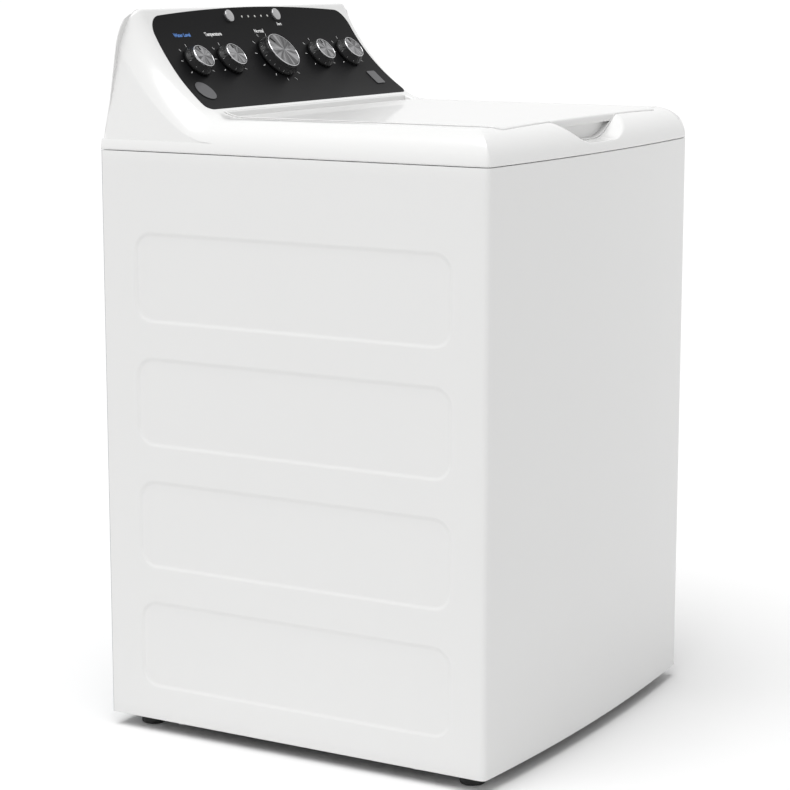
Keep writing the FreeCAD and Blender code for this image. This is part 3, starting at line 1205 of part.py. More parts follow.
def belt():
    """Belt round the two pulleys, just clear of them."""
    low, high = BELT_Z - BELT_WIDE / 2, BELT_Z + BELT_WIDE / 2
    gap = SEAT_GAP
    large, small = PULLEY_R + gap, MOTOR_PULLEY_R + gap
    outer = belt_loop(large + BELT_THICK, small + BELT_THICK, MOTOR_OFFSET, low, high)
    return outer.cut(belt_loop(large, small, MOTOR_OFFSET, low - 1, high + 1))


def pump():
    """Drain pump under the tub, with its outlet."""
    high = TUB_BOTTOM - PUMP_DOWN
    low = high - PUMP_TALL
    return fuse([rod(PUMP_R, low, high, PUMP_X, PUMP_Y),
                 rod(PUMP_NECK_R, high - 1, TUB_BOTTOM, PUMP_X, PUMP_Y),
                 rod(PUMP_MOTOR_R, low - PUMP_MOTOR_TALL, low + 1, PUMP_X, PUMP_Y),
                 y_rod(PUMP_OUTLET_R, PUMP_X + PUMP_R / 2, high - 2 * PUMP_OUTLET_R, PUMP_Y,
                       PUMP_Y + PUMP_OUTLET_LONG)])


# ---- Drum --------------------------------------------------------------------------------------
def basket_drum():
    """Perforated steel drum."""
    low = BASKET_BOTTOM
    shape = ring(BASKET_R, BASKET_R - BASKET_WALL, low, BASKET_TOP, 0, TUB_Y)
    tools = []
    step = (BASKET_TOP - BALANCE_HEIGHT - low - HOLE_LOW - HOLE_HIGH) / (HOLE_ROWS - 1)
    for row in range(HOLE_ROWS):
        for column in range(HOLE_COLUMNS):
            turn = 360.0 * (column + 0.5 * (row % 2)) / HOLE_COLUMNS
            tool = x_rod(HOLE_R, 0, low + HOLE_LOW + row * step, BASKET_R - 5, BASKET_R + 5)
            tool.rotate(Vector(0, 0, 0), Vector(0, 0, 1), turn)
            tool.translate(Vector(0, TUB_Y, 0))
            tools.append(tool)
    return shape.cut(Part.makeCompound(tools))


def basket_base():
    """Moulded floor of the drum."""
    outer = BASKET_R - BASKET_WALL - RUN_GAP
    shape = rod(outer, BASKET_BOTTOM, BASKET_BOTTOM + BASE_THICK, 0, TUB_Y)
    shape = shape.fuse(ring(outer, outer - BASE_RIM_WALL, BASKET_BOTTOM, BASKET_BOTTOM + BASE_RIM, 0, TUB_Y))
    r = BASKET_R - BASE_HOLE_INSET
    for n in range(BASE_HOLE_COUNT):
        a = math.radians(360.0 * n / BASE_HOLE_COUNT)
        shape = shape.cut(rod(BASE_HOLE_R, BASKET_BOTTOM - 1, BASKET_BOTTOM + 99,
                              r * math.cos(a), TUB_Y + r * math.sin(a)))
    bore = rod(SHAFT_DRIVE_R + SLIP_GAP, BASKET_BOTTOM - 1, BASKET_BOTTOM + 99, 0, TUB_Y)
    return shape.cut(bore).removeSplitter()


def balance_ring():
    """Liquid-filled ring round the mouth of the drum."""
    outer = BASKET_R - BASKET_WALL - RUN_GAP
    low = BASKET_TOP - BALANCE_HEIGHT
    lip = rod(BASKET_R + BALANCE_LIP, BASKET_TOP, BASKET_TOP + BALANCE_LIP_TALL, 0, TUB_Y)
    shape = rod(outer, low, BASKET_TOP, 0, TUB_Y).fuse(lip)
    shape = shape.cut(rod(BASKET_R - BALANCE_IN, low - 1, BASKET_TOP + 9, 0, TUB_Y)).removeSplitter()
    inner = [e for e in shape.Edges if len(e.Vertexes) == 1 and hasattr(e.Curve, "Radius")
             and abs(e.Curve.Radius - (BASKET_R - BALANCE_IN)) < 0.1]
    return shape.makeFillet(BALANCE_ROUND, inner)


def basket_hub():
    """Cast hub under the drum's floor, on the spin tube."""
    low = BASKET_BOTTOM - HUB_TALL
    shape = ring(HUB_R, SPIN_TUBE_R, low, BASKET_BOTTOM, 0, TUB_Y)
    for n in range(3):
        arm = box(SPIN_TUBE_R + 4, BASKET_R - HUB_ARM_INSET, -HUB_ARM, HUB_ARM,
                  BASKET_BOTTOM - HUB_ARM_TALL, BASKET_BOTTOM)
        arm.rotate(Vector(0, 0, 0), Vector(0, 0, 1), 120.0 * n)
        arm.translate(Vector(0, TUB_Y, 0))
        shape = shape.fuse(arm)
    return shape.cut(rod(SPIN_TUBE_R, low - 1, BASKET_BOTTOM + 1, 0, TUB_Y)).removeSplitter()


def spin_tube():
    """Hollow shaft that turns the drum."""
    return ring(SPIN_TUBE_R, SHAFT_DRIVE_R + RUN_GAP, HOUSING_BOTTOM - 6, BASKET_BOTTOM, 0, TUB_Y)


def drive_shaft():
    """Solid shaft from the large pulley up into the agitator."""
    low = BELT_Z - BELT_WIDE / 2 - 2 * PULLEY_RIM
    return rod(SHAFT_DRIVE_R, low, AGITATOR_TOP - SHAFT_END_DOWN, 0, TUB_Y)


# ---- Agitator ----------------------------------------------------------------------------------
def agitator():
    """Lower agitator: flared skirt, post and swept vanes."""
    foot, top = AGITATOR_FOOT, AGITATOR_TOP
    profile = [Vector(0, 0, foot), Vector(AGITATOR_R, 0, foot), Vector(AGITATOR_R, 0, foot + SKIRT_EDGE),
               Vector(110, 0, foot + 22), Vector(POST_R + 14, 0, foot + 62), Vector(POST_R, 0, foot + 110),
               Vector(POST_R - POST_TAPER, 0, top), Vector(0, 0, top), Vector(0, 0, foot)]
    body = Part.Face(Part.makePolygon(profile)).revolve(Vector(0, 0, 0), Vector(0, 0, 1), 360)
    vane = slab([(20, -VANE_THICK / 2, foot + 4), (AGITATOR_R - 6, -VANE_THICK / 2, foot + 4),
                 (AGITATOR_R - 14, -VANE_THICK / 2, foot + 52), (POST_R + 40, -VANE_THICK / 2, foot + 92),
                 (POST_R + 16, -VANE_THICK / 2, foot + 150), (20, -VANE_THICK / 2, top - SHAFT_END_DOWN)],
                (0, VANE_THICK, 0))
    parts = [body]
    for n in range(VANE_COUNT):
        one = vane.copy()
        one.rotate(Vector(0, 0, 0), Vector(0, 0, 1), 360.0 * n / VANE_COUNT + 45)
        parts.append(one)
    shape = fuse(parts)
    shape = shape.cut(rod(SHAFT_DRIVE_R, foot - 1, top - SHAFT_END_DOWN))
    shape.translate(Vector(0, TUB_Y, 0))
    return shape


def auger():
    """Upper agitator: a post with a winding flight."""
    rise = AUGER_TALL - 24
    low = AUGER_FOOT + 8
    turns = rise / FLIGHT_PITCH
    section = Part.makePolygon([Vector(AUGER_R - 4, 0, 0), Vector(FLIGHT_R, 0, 2),
                                Vector(FLIGHT_R, 0, FLIGHT_THICK), Vector(AUGER_R - 4, 0, FLIGHT_THICK + 4),
                                Vector(AUGER_R - 4, 0, 0)])
    helix = Part.makeHelix(FLIGHT_PITCH, FLIGHT_PITCH * turns, FLIGHT_R)
    flight = Part.Wire(helix.Edges).makePipeShell([section], True, True)
    flight.translate(Vector(0, 0, low))
    other = flight.copy()
    other.rotate(Vector(0, 0, 0), Vector(0, 0, 1), 180)
    post = rod(AUGER_R, AUGER_FOOT, AUGER_TOP)
    shape = fuse([post, flight, other])
    shape.translate(Vector(0, TUB_Y, 0))
    return shape


def softener_cup():
    """Open cup for fabric softener on top of the auger."""
    top = AUGER_TOP + CUP_TALL
    shape = Part.makeCone(AUGER_R, CUP_R, CUP_TALL, Vector(0, TUB_Y, AUGER_TOP))
    hollow = Part.makeCone(AUGER_R - 1.5 * CUP_WALL, CUP_R - CUP_WALL, CUP_TALL - CUP_FLOOR + 2,
                           Vector(0, TUB_Y, AUGER_TOP + CUP_FLOOR))
    return shape.cut(hollow).cut(rod(CUP_R - CUP_WALL, top - 3, top + 1, 0, TUB_Y))


# ---- Everything, by node name ------------------------------------------------------------------
def build():
    """Every node's shape."""
    made = {
        "cabinet_wrapper": cabinet_wrapper(),
        "rear_panel": rear_panel(),
        "base_rails": base_rails(),
        "corner_plates": corner_plates(),
        "base_bolts": base_bolts(),
        "top_corner_brackets": top_corner_brackets(),
        "suspension_rods": suspension_rods(),
        "suspension_springs": suspension_springs(),
        "top_cover": top_cover(),
        "lid_lock": lid_lock(),
        "lid_panel": lid_panel(),
        "lid_liner": lid_liner(),
        "lid_bumpers": lid_bumpers(),
        "hinge_pins": hinge_pins(),
        "console_housing": console_housing(),
        "console_rear_cover": console_rear_cover(),
        "control_fascia": control_fascia(),
        "badge_plates": badge_plates(),
        "lamps": lamps(),
        "selectors": selectors(),
        "button_switches": button_switches(),
        "control_board": control_board(),
        "cycle_knob": knob(0.0, CYCLE_SKIRT_R, CYCLE_FACE_R, CYCLE_HEIGHT),
        "inlet_valve": inlet_valve(),
        "water_spout": water_spout(),
        "pressure_switch": pressure_switch(),
        "power_gland": power_gland(),
        "drain_spigot": drain_spigot(),
        "rear_screws": rear_screws(),
        "outer_tub": outer_tub(),
        "tub_ring": tub_ring(),
        "shaft_housing": shaft_housing(),
        "bearings": bearings(),
        "tub_seal": tub_seal(),
        "mounting_plate": mounting_plate(),
        "motor": motor(),
        "motor_pulley": motor_pulley(),
        "drive_pulley": drive_pulley(),
        "belt": belt(),
        "pump": pump(),
        "basket_drum": basket_drum(),
        "basket_base": basket_base(),
        "balance_ring": balance_ring(),
        "basket_hub": basket_hub(),
        "spin_tube": spin_tube(),
        "drive_shaft": drive_shaft(),
        "agitator": agitator(),
        "auger": auger(),
        "softener_cup": softener_cup(),
    }
    for name, (x, y) in FEET.items():
        made["foot_" + name] = foot(x, y)
    for name, x in zip(SMALL_KNOB_NAMES, SMALL_KNOB_XS):
        made["knob_" + name] = knob(x, KNOB_SKIRT_R, KNOB_FACE_R, KNOB_HEIGHT)
    for name, x in zip(BUTTON_NAMES, BUTTON_XS):
        made["button_" + name] = push_button(x)
    return made


os.makedirs("parts", exist_ok=True)
for name, shape in build().items():
    shape.exportStep(os.path.join("parts", name + ".step"))
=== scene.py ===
import json
import math

import bmesh
import bpy
import numpy as np
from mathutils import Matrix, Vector


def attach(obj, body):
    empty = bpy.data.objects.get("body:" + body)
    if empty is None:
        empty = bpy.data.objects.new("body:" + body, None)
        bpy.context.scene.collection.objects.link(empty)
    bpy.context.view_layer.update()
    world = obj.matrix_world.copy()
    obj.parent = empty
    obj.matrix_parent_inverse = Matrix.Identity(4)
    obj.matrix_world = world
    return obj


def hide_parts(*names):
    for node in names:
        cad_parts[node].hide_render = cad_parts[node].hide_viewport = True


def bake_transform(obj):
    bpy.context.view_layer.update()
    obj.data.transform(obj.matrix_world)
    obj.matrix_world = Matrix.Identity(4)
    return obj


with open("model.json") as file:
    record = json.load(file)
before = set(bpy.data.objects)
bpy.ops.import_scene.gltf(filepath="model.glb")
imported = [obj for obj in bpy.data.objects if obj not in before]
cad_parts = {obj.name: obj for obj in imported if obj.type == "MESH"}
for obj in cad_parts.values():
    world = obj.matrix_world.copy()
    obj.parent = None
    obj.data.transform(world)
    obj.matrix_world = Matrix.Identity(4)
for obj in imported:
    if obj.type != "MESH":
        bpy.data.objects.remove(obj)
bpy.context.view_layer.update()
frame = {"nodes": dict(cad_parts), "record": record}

# ---- Cabinet ------------------------------------------------------------------------------------
# One sheet of steel, 1.2 mm thick, folded round the left side, the bowed front and the right side.
# Each side has four stamped panels, pressed inward to stiffen it, and the sheet is enamelled white.
# Shapes in this file are worked out in millimetres and go into their meshes in metres.

CABINET_SIDE = 343.0
FRONT_APEX = -343.0
FRONT_BOW = 16.0
BOW_RADIUS = (CABINET_SIDE ** 2 + FRONT_BOW ** 2) / (2 * FRONT_BOW)
BOW_CENTRE = FRONT_APEX + BOW_RADIUS
CABINET_FOOT, CABINET_TOP = 21.0, 908.0
CABINET_REAR = 336.8
CORNER_RADIUS = 9.0
EDGE_BEND = 1.5
MM = 0.001


def plan_loop(inset, rear, front_at, side_at, corner=CORNER_RADIUS):
    """Points round the cabinet in plan at each inset, from the left rear by the front to the right rear.

    A side point lies at a share of the way from the front corner to the rear, the corner is an arc whose
    radius shrinks with the inset until the sides meet in a mitre, and a front point lies on the bow at a
    share of its half width. inset has one value for each loop, and the result is (loops, points, 2)."""
    inset = np.atleast_1d(np.asarray(inset, float))[:, None]
    radius = np.maximum(corner - inset, 0.02)
    side, bow = CABINET_SIDE - inset, BOW_RADIUS - inset
    centre_x = side - radius
    centre_y = BOW_CENTRE - np.sqrt((bow - radius) ** 2 - centre_x ** 2)
    lean = np.arctan2(centre_y - BOW_CENTRE, centre_x)
    turn = lean * np.linspace(0, 1, 7)[None]
    arc_x, arc_y = centre_x + radius * np.cos(turn), centre_y + radius * np.sin(turn)
    side_y = centre_y + (rear - centre_y) * side_at[None, ::-1]
    front_x = arc_x[:, -1:] * front_at[None]
    front_y = BOW_CENTRE - np.sqrt(bow ** 2 - front_x ** 2)
    full = np.ones_like(side_y) * side
    x = np.hstack([-full, -arc_x[:, 1:], front_x[:, 1:-1], arc_x[:, :0:-1], full[:, ::-1]])
    y = np.hstack([side_y, arc_y[:, 1:], front_y[:, 1:-1], arc_y[:, :0:-1], side_y[:, ::-1]])
    return np.stack([x, y], -1)


def graded(low, high, marks, reach, fine, coarse):
    """Line positions from low to high: fine apart within reach of a mark, and coarse elsewhere."""
    marks = np.asarray(marks, float)
    close = (marks[:, None] + np.arange(-reach, reach + fine / 2, fine)[None]).ravel()
    wide = np.linspace(low, high, int((high - low) / coarse) + 2)
    wide = wide[np.abs(wide[:, None] - marks[None]).min(1) > reach + 0.4 * fine]
    lines = np.unique(np.round(np.concatenate([[low, high], wide, close[(close > low) & (close < high)]]), 3))
    keep = np.concatenate([[True], np.diff(lines) > 0.3 * fine])
    keep[-1] = True
    return lines[keep]


def smooth(value):
    """A smooth step from 0 to 1."""
    value = np.clip(value, 0, 1)
    return value * value * (3 - 2 * value)


def box_distance(x, y, side, front, rear, radius):
    """Signed distance to a rounded rectangle about x = 0, below 0 inside it."""
    qx = np.abs(x) - side + radius
    qy = np.abs(y - (front + rear) / 2) - (rear - front) / 2 + radius
    return np.hypot(np.maximum(qx, 0), np.maximum(qy, 0)) + np.minimum(np.maximum(qx, qy), 0) - radius


def placed(name, data):
    """A new object for some data, in the scene, at the origin."""
    piece = bpy.data.objects.new(name, data)
    bpy.context.scene.collection.objects.link(piece)
    return piece


def in_metres(name, points, faces):
    """A mesh from points in millimetres and faces given by their corners' numbers."""
    mesh = bpy.data.meshes.new(name)
    mesh.from_pydata((points * MM).tolist(), [], np.asarray(faces).tolist())
    return mesh


def smooth_shaded(mesh, sharp):
    """Smooth shading, with edges that turn by more than an angle kept sharp."""
    mesh.shade_smooth()
    mesh.set_sharp_from_angle(angle=math.radians(sharp))


def sheet(name, grids, wrap=False, weld=2e-5, sharp=38.0):
    """One mesh from point grids in millimetres, with quads between neighbours and its seams welded.

    Each grid is (points, inside point), and its faces are turned to look away from the inside point. wrap
    joins each row's last point to its first."""
    verts, faces, base = [], [], 0
    for points, away in grids:
        n, m = points.shape[:2]
        i = np.arange(n - 1)[:, None]
        j = np.arange(m if wrap else m - 1)[None]
        k = (j + 1) % m
        quads = np.stack([i * m + j, i * m + k, (i + 1) * m + k, (i + 1) * m + j], -1).reshape(-1, 4)
        flat = points.reshape(-1, 3)
        corners = flat[quads]
        normal = np.cross(corners[:, 2] - corners[:, 0], corners[:, 3] - corners[:, 1])
        if (normal * (corners.mean(1) - np.asarray(away, float))).sum() < 0:
            quads = quads[:, ::-1]
        verts.append(flat)
        faces.append(quads + base)
        base += len(flat)
    mesh = in_metres(name, np.concatenate(verts), np.concatenate(faces))
    bm = bmesh.new()
    bm.from_mesh(mesh)
    bmesh.ops.remove_doubles(bm, verts=bm.verts, dist=weld)
    bmesh.ops.dissolve_degenerate(bm, edges=bm.edges, dist=weld)
    bm.to_mesh(mesh)
    bm.free()
    smooth_shaded(mesh, sharp)
    return placed(name, mesh)


def read(items, attribute, width=1, kind=float):
    """Values of one attribute of every item, in rows of some width."""
    values = np.empty(len(items) * width, dtype=kind)
    items.foreach_get(attribute, values)
    return values.reshape(-1, width) if width > 1 else values


def thicken(piece, amount):
    """Gives a sheet its wall, inward from its outer face."""
    solid = piece.modifiers.new("wall", "SOLIDIFY")
    solid.thickness, solid.offset = amount, -1.0
    return piece


def new_group(name, inputs):
    """A shader group with some inputs (name, kind, default) that gives a colour, roughness and normal."""
    group = bpy.data.node_groups.new(name, "ShaderNodeTree")
    for label, kind, value in inputs:
        socket = group.interface.new_socket(label, in_out="INPUT", socket_type="NodeSocket" + kind)
        socket.default_value = value
    for label, kind in (("Color", "Color"), ("Roughness", "Float"), ("Normal", "Vector")):
        group.interface.new_socket(label, in_out="OUTPUT", socket_type="NodeSocket" + kind)
    return group, group.nodes.new("NodeGroupInput"), group.nodes.new("NodeGroupOutput")


def add(tree, kind, **values):
    """A node in a tree, with its properties and input values set by name."""
    node = tree.nodes.new(kind)
    for key, value in values.items():
        if hasattr(node, key) and key not in node.inputs:
            setattr(node, key, value)
        else:
            node.inputs[key.replace("_", " ")].default_value = value
    return node


def maths(tree, operation, *values, kind="ShaderNodeMath"):
    """Output of a math node; each value is a socket to link or a constant."""
    node = tree.nodes.new(kind)
    node.operation = operation
    for socket, value in zip(node.inputs, values):
        if isinstance(value, bpy.types.NodeSocket):
            tree.links.new(value, socket)
        else:
            socket.default_value = value
    return node.outputs[0]


def give_out(group, gout, colour, roughness, height, strength, distance):
    """Sends out a group's colour and roughness, and a normal with a relief of some height."""
    bump = add(group, "ShaderNodeBump", Distance=distance)
    for source, target in ((colour, gout.inputs["Color"]), (roughness, gout.inputs["Roughness"]),
                           (height, bump.inputs["Height"]), (strength, bump.inputs["Strength"]),
                           (bump.outputs[0], gout.inputs["Normal"])):
        group.links.new(source, target)


def coat_skin():
    """Group for a painted, moulded or cast skin: slight clouding of colour and gloss, and a fine relief."""
    group, gin, gout = new_group("coat skin", [
        ("Color", "Color", (0.8, 0.8, 0.8, 1)), ("Clouding", "Float", 0.02),
        ("Roughness", "Float", 0.3), ("Spread", "Float", 0.05),
        ("Relief Scale", "Float", 600.0), ("Relief", "Float", 0.1)])
    link = group.links.new
    where = add(group, "ShaderNodeTexCoord")
    cloud = add(group, "ShaderNodeTexNoise", Scale=7.0, Detail=4.0)
    fine = add(group, "ShaderNodeTexNoise", Detail=2.0)
    for noise in (cloud, fine):
        link(where.outputs["Object"], noise.inputs["Vector"])
    link(gin.outputs["Relief Scale"], fine.inputs["Scale"])
    centred = maths(group, "SUBTRACT", cloud.outputs["Fac"], 0.5)
    bright = maths(group, "MULTIPLY_ADD", centred, gin.outputs["Clouding"], 1.0)
    tinted = maths(group, "MULTIPLY", gin.outputs["Color"], bright, kind="ShaderNodeVectorMath")
    rough = maths(group, "MULTIPLY_ADD", centred, gin.outputs["Spread"], gin.outputs["Roughness"])
    give_out(group, gout, tinted, rough, fine.outputs["Fac"], gin.outputs["Relief"], 0.0004)
    return group


SKIN = coat_skin()


def grouped(name, group, values, plain):
    """A material on a shader group. plain sets values on the shader's own sockets."""
    made = bpy.data.materials.new(name)
    made.use_nodes = True
    tree = made.node_tree
    shader = tree.nodes["Principled BSDF"]
    skin = tree.nodes.new("ShaderNodeGroup")
    skin.node_tree = group
    for label, value in values.items():
        skin.inputs[label].default_value = value
    for source, target in (("Color", "Base Color"), ("Roughness", "Roughness"), ("Normal", "Normal")):
        tree.links.new(skin.outputs[source], shader.inputs[target])
    for label, value in plain.items():
        shader.inputs[label.replace("_", " ")].default_value = value
    return made


def skinned(name, colour, roughness, clouding=0.03, spread=0.06, scale=600.0, relief=0.1, **plain):
    """A material on the coat skin group."""
    return grouped(name, SKIN, {"Color": (*colour, 1), "Clouding": clouding, "Roughness": roughness,
                                "Spread": spread, "Relief Scale": scale, "Relief": relief}, plain)


def dress(piece, body, slot, material, *nodes):
    """Puts a piece's material on it, hangs it on the empty of the body it rides on, and hides the CAD nodes it
    stands for.
    """
    piece.data.materials.append(material)
    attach(piece, body)
    if nodes:
        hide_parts(*nodes)
    return piece


STAMPED_COUNT, STAMPED_PITCH, STAMPED_LOW = 4, 191.7, 74.0
STAMPED_HIGH, STAMPED_FRONT, STAMPED_REAR = 138.0, -271.0, 279.0
STAMPED_RADIUS, STAMPED_DEPTH, STAMPED_SLOPE, STAMPED_MARK = 30.0, 1.7, 5.0, 16.0


def stamped(y, z):
    """How far the side is pressed in: a smooth step across the edge of each rounded rectangle."""
    depth = np.zeros_like(y)
    aside, half = y - (STAMPED_FRONT + STAMPED_REAR) / 2, (STAMPED_REAR - STAMPED_FRONT) / 2
    for n in range(STAMPED_COUNT):
        low = STAMPED_LOW + n * STAMPED_PITCH
        edge = box_distance(aside, z, half, low, low + STAMPED_HIGH, STAMPED_RADIUS)
        depth = np.maximum(depth, STAMPED_DEPTH * smooth(-edge / STAMPED_SLOPE))
    return depth


def cabinet():
    """The folded sheet: a plan loop at each height, the sides pressed in by the stamped panels."""
    ends = [STAMPED_FRONT + STAMPED_MARK, STAMPED_REAR - STAMPED_MARK]
    rear = CABINET_REAR - EDGE_BEND
    front_corner = FRONT_APEX + FRONT_BOW + CORNER_RADIUS
    side_y = graded(front_corner, rear, ends, 20, 2.0, 22)
    side_at = (side_y - front_corner) / (rear - front_corner)
    marks = [STAMPED_LOW + n * STAMPED_PITCH + d
             for n in range(STAMPED_COUNT) for d in (STAMPED_MARK, STAMPED_HIGH - STAMPED_MARK)]
    wall = graded(CABINET_FOOT + EDGE_BEND, CABINET_TOP - EDGE_BEND, marks, 20, 2.0, 16)
    bend = np.linspace(0, math.pi / 2, 4)[:-1]
    low_in = np.concatenate([[18, 9], EDGE_BEND - EDGE_BEND * np.sin(bend)])
    low_z = np.concatenate([[CABINET_FOOT] * 2, CABINET_FOOT + EDGE_BEND - EDGE_BEND * np.cos(bend)])
    inset = np.concatenate([low_in, wall * 0, low_in[::-1]])
    z = np.concatenate([low_z, wall, CABINET_TOP + CABINET_FOOT - low_z[::-1]])
    loop = plan_loop(inset, rear, np.linspace(-1, 1, 61), side_at)
    points = np.dstack([loop, np.repeat(z[:, None], loop.shape[1], 1)])
    flat = (np.abs(np.abs(points[..., 0]) - CABINET_SIDE) < 0.01) & (inset[:, None] == 0)
    points[..., 0] -= np.sign(points[..., 0]) * stamped(points[..., 1], points[..., 2]) * flat
    turned = np.array([[0, 0], [0.2, 0.75], [0.75, 1.3], [1.5, 1.5], [9, 1.5], [18, 1.5]])
    grids = [(points, (0, 0, 450))]
    for hand, column in ((-1, 0), (1, -1)):
        edge = points[:, column][:, None].repeat(len(turned), 1)
        limit = np.maximum(turned[None, :, 0] - np.maximum(inset[:, None], 0), 0)
        edge[..., 0] -= hand * limit
        edge[..., 1] += turned[None, :, 1]
        grids.append((edge, (0, 250, 450)))
    return thicken(sheet("cabinet_shell", grids), 0.0012)


ENAMEL = skinned("white enamel", (0.80, 0.80, 0.795), 0.30, clouding=0.012, spread=0.08, scale=420.0,
                 relief=0.035, Coat_Weight=0.35, Coat_Roughness=0.12)
dress(cabinet(), "cabinet", "white_enamel", ENAMEL, "cabinet_wrapper")


# ---- Top moulding and console -------------------------------------------------------------------
# The white top: a moulding with a rolled edge that sweeps up at the back into the console, a flat
# recess for the lid, a scoop for the fingers in front and a collar round the mouth of the tub.

ROLL_OUT, ROLL_UP = 45.0, 50.0
COVER_TOP = 959.0
STRIP_TOP = 925.0
RECESS_SIDE, RECESS_FRONT, RECESS_REAR, RECESS_RADIUS = 270.5, -306.0, 160.5, 16.5
LEDGE, TROUGH, TROUGH_FRONT = 946.0, 934.5, 132.5
SCOOP_FLOOR, SCOOP_REAR = 924.5, -294.5
FACE_RADIUS, FACE_Y, FACE_Z = 332.0, -8.9, 1250.6
CONSOLE_TOP, SWEEP_RADIUS = 1118.0, 86.0
SPLIT_Y, STRIP_REAR, STRIP_LIP = 100.0, 338.0, 1.1
MOUTH_SIDE, MOUTH_FRONT, MOUTH_REAR, MOUTH_RADIUS, MOUTH_MIDDLE = 245.5, -281.0, 124.0, 118.0, -78.5
RECESS_ROUND = 1.5


def roll_drop(inset):
    """Drop of the rolled edge below the top: a quarter ellipse that ends upright at the outline."""
    share = np.clip((ROLL_OUT - inset) / ROLL_OUT, 0, 1)
    return ROLL_UP * (1 - np.sqrt(1 - share ** 2))


def scoop(x):
    """Height of the scoop across its width: a flat floor with sides that rise in an S."""
    share = np.clip((np.abs(x) - 34) / 100, 0, 1) ** 1.3
    return SCOOP_FLOOR + (COVER_TOP + 6 - SCOOP_FLOOR) * smooth(share)


def lowest(a, b, blend):
    """The lower of two heights, rounded where they cross."""
    h = np.clip(0.5 + (b - a) / (2 * blend), 0, 1)
    return b + (a - b) * h - blend * h * (1 - h)


def recess_distance(x, y):
    """Signed distance to the lid's recess, whose rear corners are square."""
    return box_distance(x, y, RECESS_SIDE, RECESS_FRONT, RECESS_REAR + 200, RECESS_RADIUS)


STRIP_INSET = ROLL_OUT * (1 - math.sqrt(1 - (1 - (COVER_TOP - STRIP_TOP) / ROLL_UP) ** 2))
STRIP_ROWS = STRIP_INSET * np.array([0, 0.02, 0.1, 0.3, 0.6, 1.0])


def front_part():
    """Rolled edge and rim from the split, round the front, to the split: plan loops whose height follows
    the quarter ellipse, each column ending where it meets the recess, with the scoop cut down through it."""
    front_at = np.unique(np.concatenate([np.linspace(-1, 1, 41), np.linspace(-0.5, 0.5, 61),
                                         np.linspace(0.78, 0.9, 13), -np.linspace(0.78, 0.9, 13)]).round(4))
    side_at = np.linspace(0, 1, 26)
    trial = np.linspace(0, 80, 641)
    rays = plan_loop(trial, SPLIT_Y, front_at, side_at)
    gap = recess_distance(rays[..., 0], rays[..., 1])
    first = np.argmax(gap <= 0, axis=0)
    columns = np.arange(rays.shape[1])
    before, after = gap[first - 1, columns], gap[first, columns]
    end = trial[first] - trial[1] * after / (after - before)
    low = STRIP_ROWS[:-1, None]
    swing = 1 - np.cos(np.linspace(0, math.pi / 2, 31))
    inset = np.vstack([np.repeat(low, len(end), 1), STRIP_INSET + (end - STRIP_INSET) * swing[:, None]])
    fitted = np.stack([plan_loop(row, SPLIT_Y, front_at, side_at)[columns, columns] for row in inset])
    x, y = fitted[..., 0], fitted[..., 1]
    z = COVER_TOP - roll_drop(inset)
    cut = np.where(y < -200, lowest(z, scoop(x), 2.5), z)
    return np.dstack([x, y, np.maximum(cut, np.minimum(z, SCOOP_FLOOR - 1))]), inset[:, 0]


FRONT_GRID, SIDE_INSETS = front_part()
FRAME_INSIDE = (0, 0, 700)

# The swept side: worktop line, hollow sweep, console face and rounded top, sunk by the roll.
FACE_END = 0.93
CREST_X, CONSOLE_DROP = 288.0, 61.0
BACK_FOOT, BACK_LEAN = 335.0, 31.0 / 193.0


def back_plane(z):
    """Where the console's back stands at a height."""
    return BACK_FOOT - BACK_LEAN * (z - STRIP_TOP)


def side_plane(z):
    """Half width of the console's flat side, which leans in as it rises."""
    return 339.5 - 0.085 * (z - STRIP_TOP)


LINE_ROWS, LIP_SHARE = 4, 0.7057
LIP_ROW = LINE_ROWS + 8
SWEEP_ROWS = np.concatenate([np.linspace(0, LIP_SHARE, 9), np.linspace(LIP_SHARE, 1, 5)[1:]])


def section(work_drop, face_drop):
    """Front-to-back line of the moulding at some drop: straight along the top, round the sweep, up the
    hollow face, over the top edge and back to the rear plane. Returns y, z and the slope at each point."""
    radius, sweep = FACE_RADIUS + face_drop, SWEEP_RADIUS + work_drop
    sweep_z = COVER_TOP - work_drop + sweep
    sweep_y = FACE_Y + np.sqrt((radius - sweep) ** 2 - (FACE_Z - sweep_z) ** 2)
    turn = np.arctan2(sweep_y - FACE_Y, FACE_Z - sweep_z)
    line_y = SPLIT_Y + (sweep_y - SPLIT_Y) * np.linspace(0, 1, LINE_ROWS + 1)[:-1]
    angle = turn * SWEEP_ROWS
    y = np.concatenate([line_y, sweep_y + sweep * np.sin(angle)])
    z = np.concatenate([line_y * 0 + COVER_TOP - work_drop, sweep_z - sweep * np.cos(angle)])
    top = CONSOLE_TOP - face_drop
    last = math.acos((FACE_Z - top) / radius)
    trial = np.linspace(turn, last, 400)
    over = FACE_Y + radius * np.sin(trial) > back_plane(FACE_Z - radius * np.cos(trial)) - 0.3
    if over.any():
        last = trial[np.argmax(over)]
        top = FACE_Z - radius * math.cos(last)
    depth = back_plane(top) - FACE_Y - radius * math.sin(last)
    ease = min(3.5, 0.45 * depth) if depth > 1.2 else 0.0
    climb = np.linspace(turn, last - ease / radius, 26)[1:]
    y = np.concatenate([y, FACE_Y + radius * np.sin(climb)])
    z = np.concatenate([z, FACE_Z - radius * np.cos(climb)])
    knee = np.array([FACE_Y + radius * math.sin(last), top])
    t = np.linspace(0, 1, 6)[1:, None]
    start, finish = np.array([y[-1], z[-1]]), np.array([knee[0] + ease, top])
    edge = (1 - t) ** 2 * start + 2 * t * (1 - t) * knee + t ** 2 * finish
    y = np.concatenate([y, edge[:, 0], [back_plane(top)]])
    z = np.concatenate([z, edge[:, 1], [top]])
    slope = np.concatenate([line_y * 0, angle, climb, np.full(6, last)])
    return y, z, slope


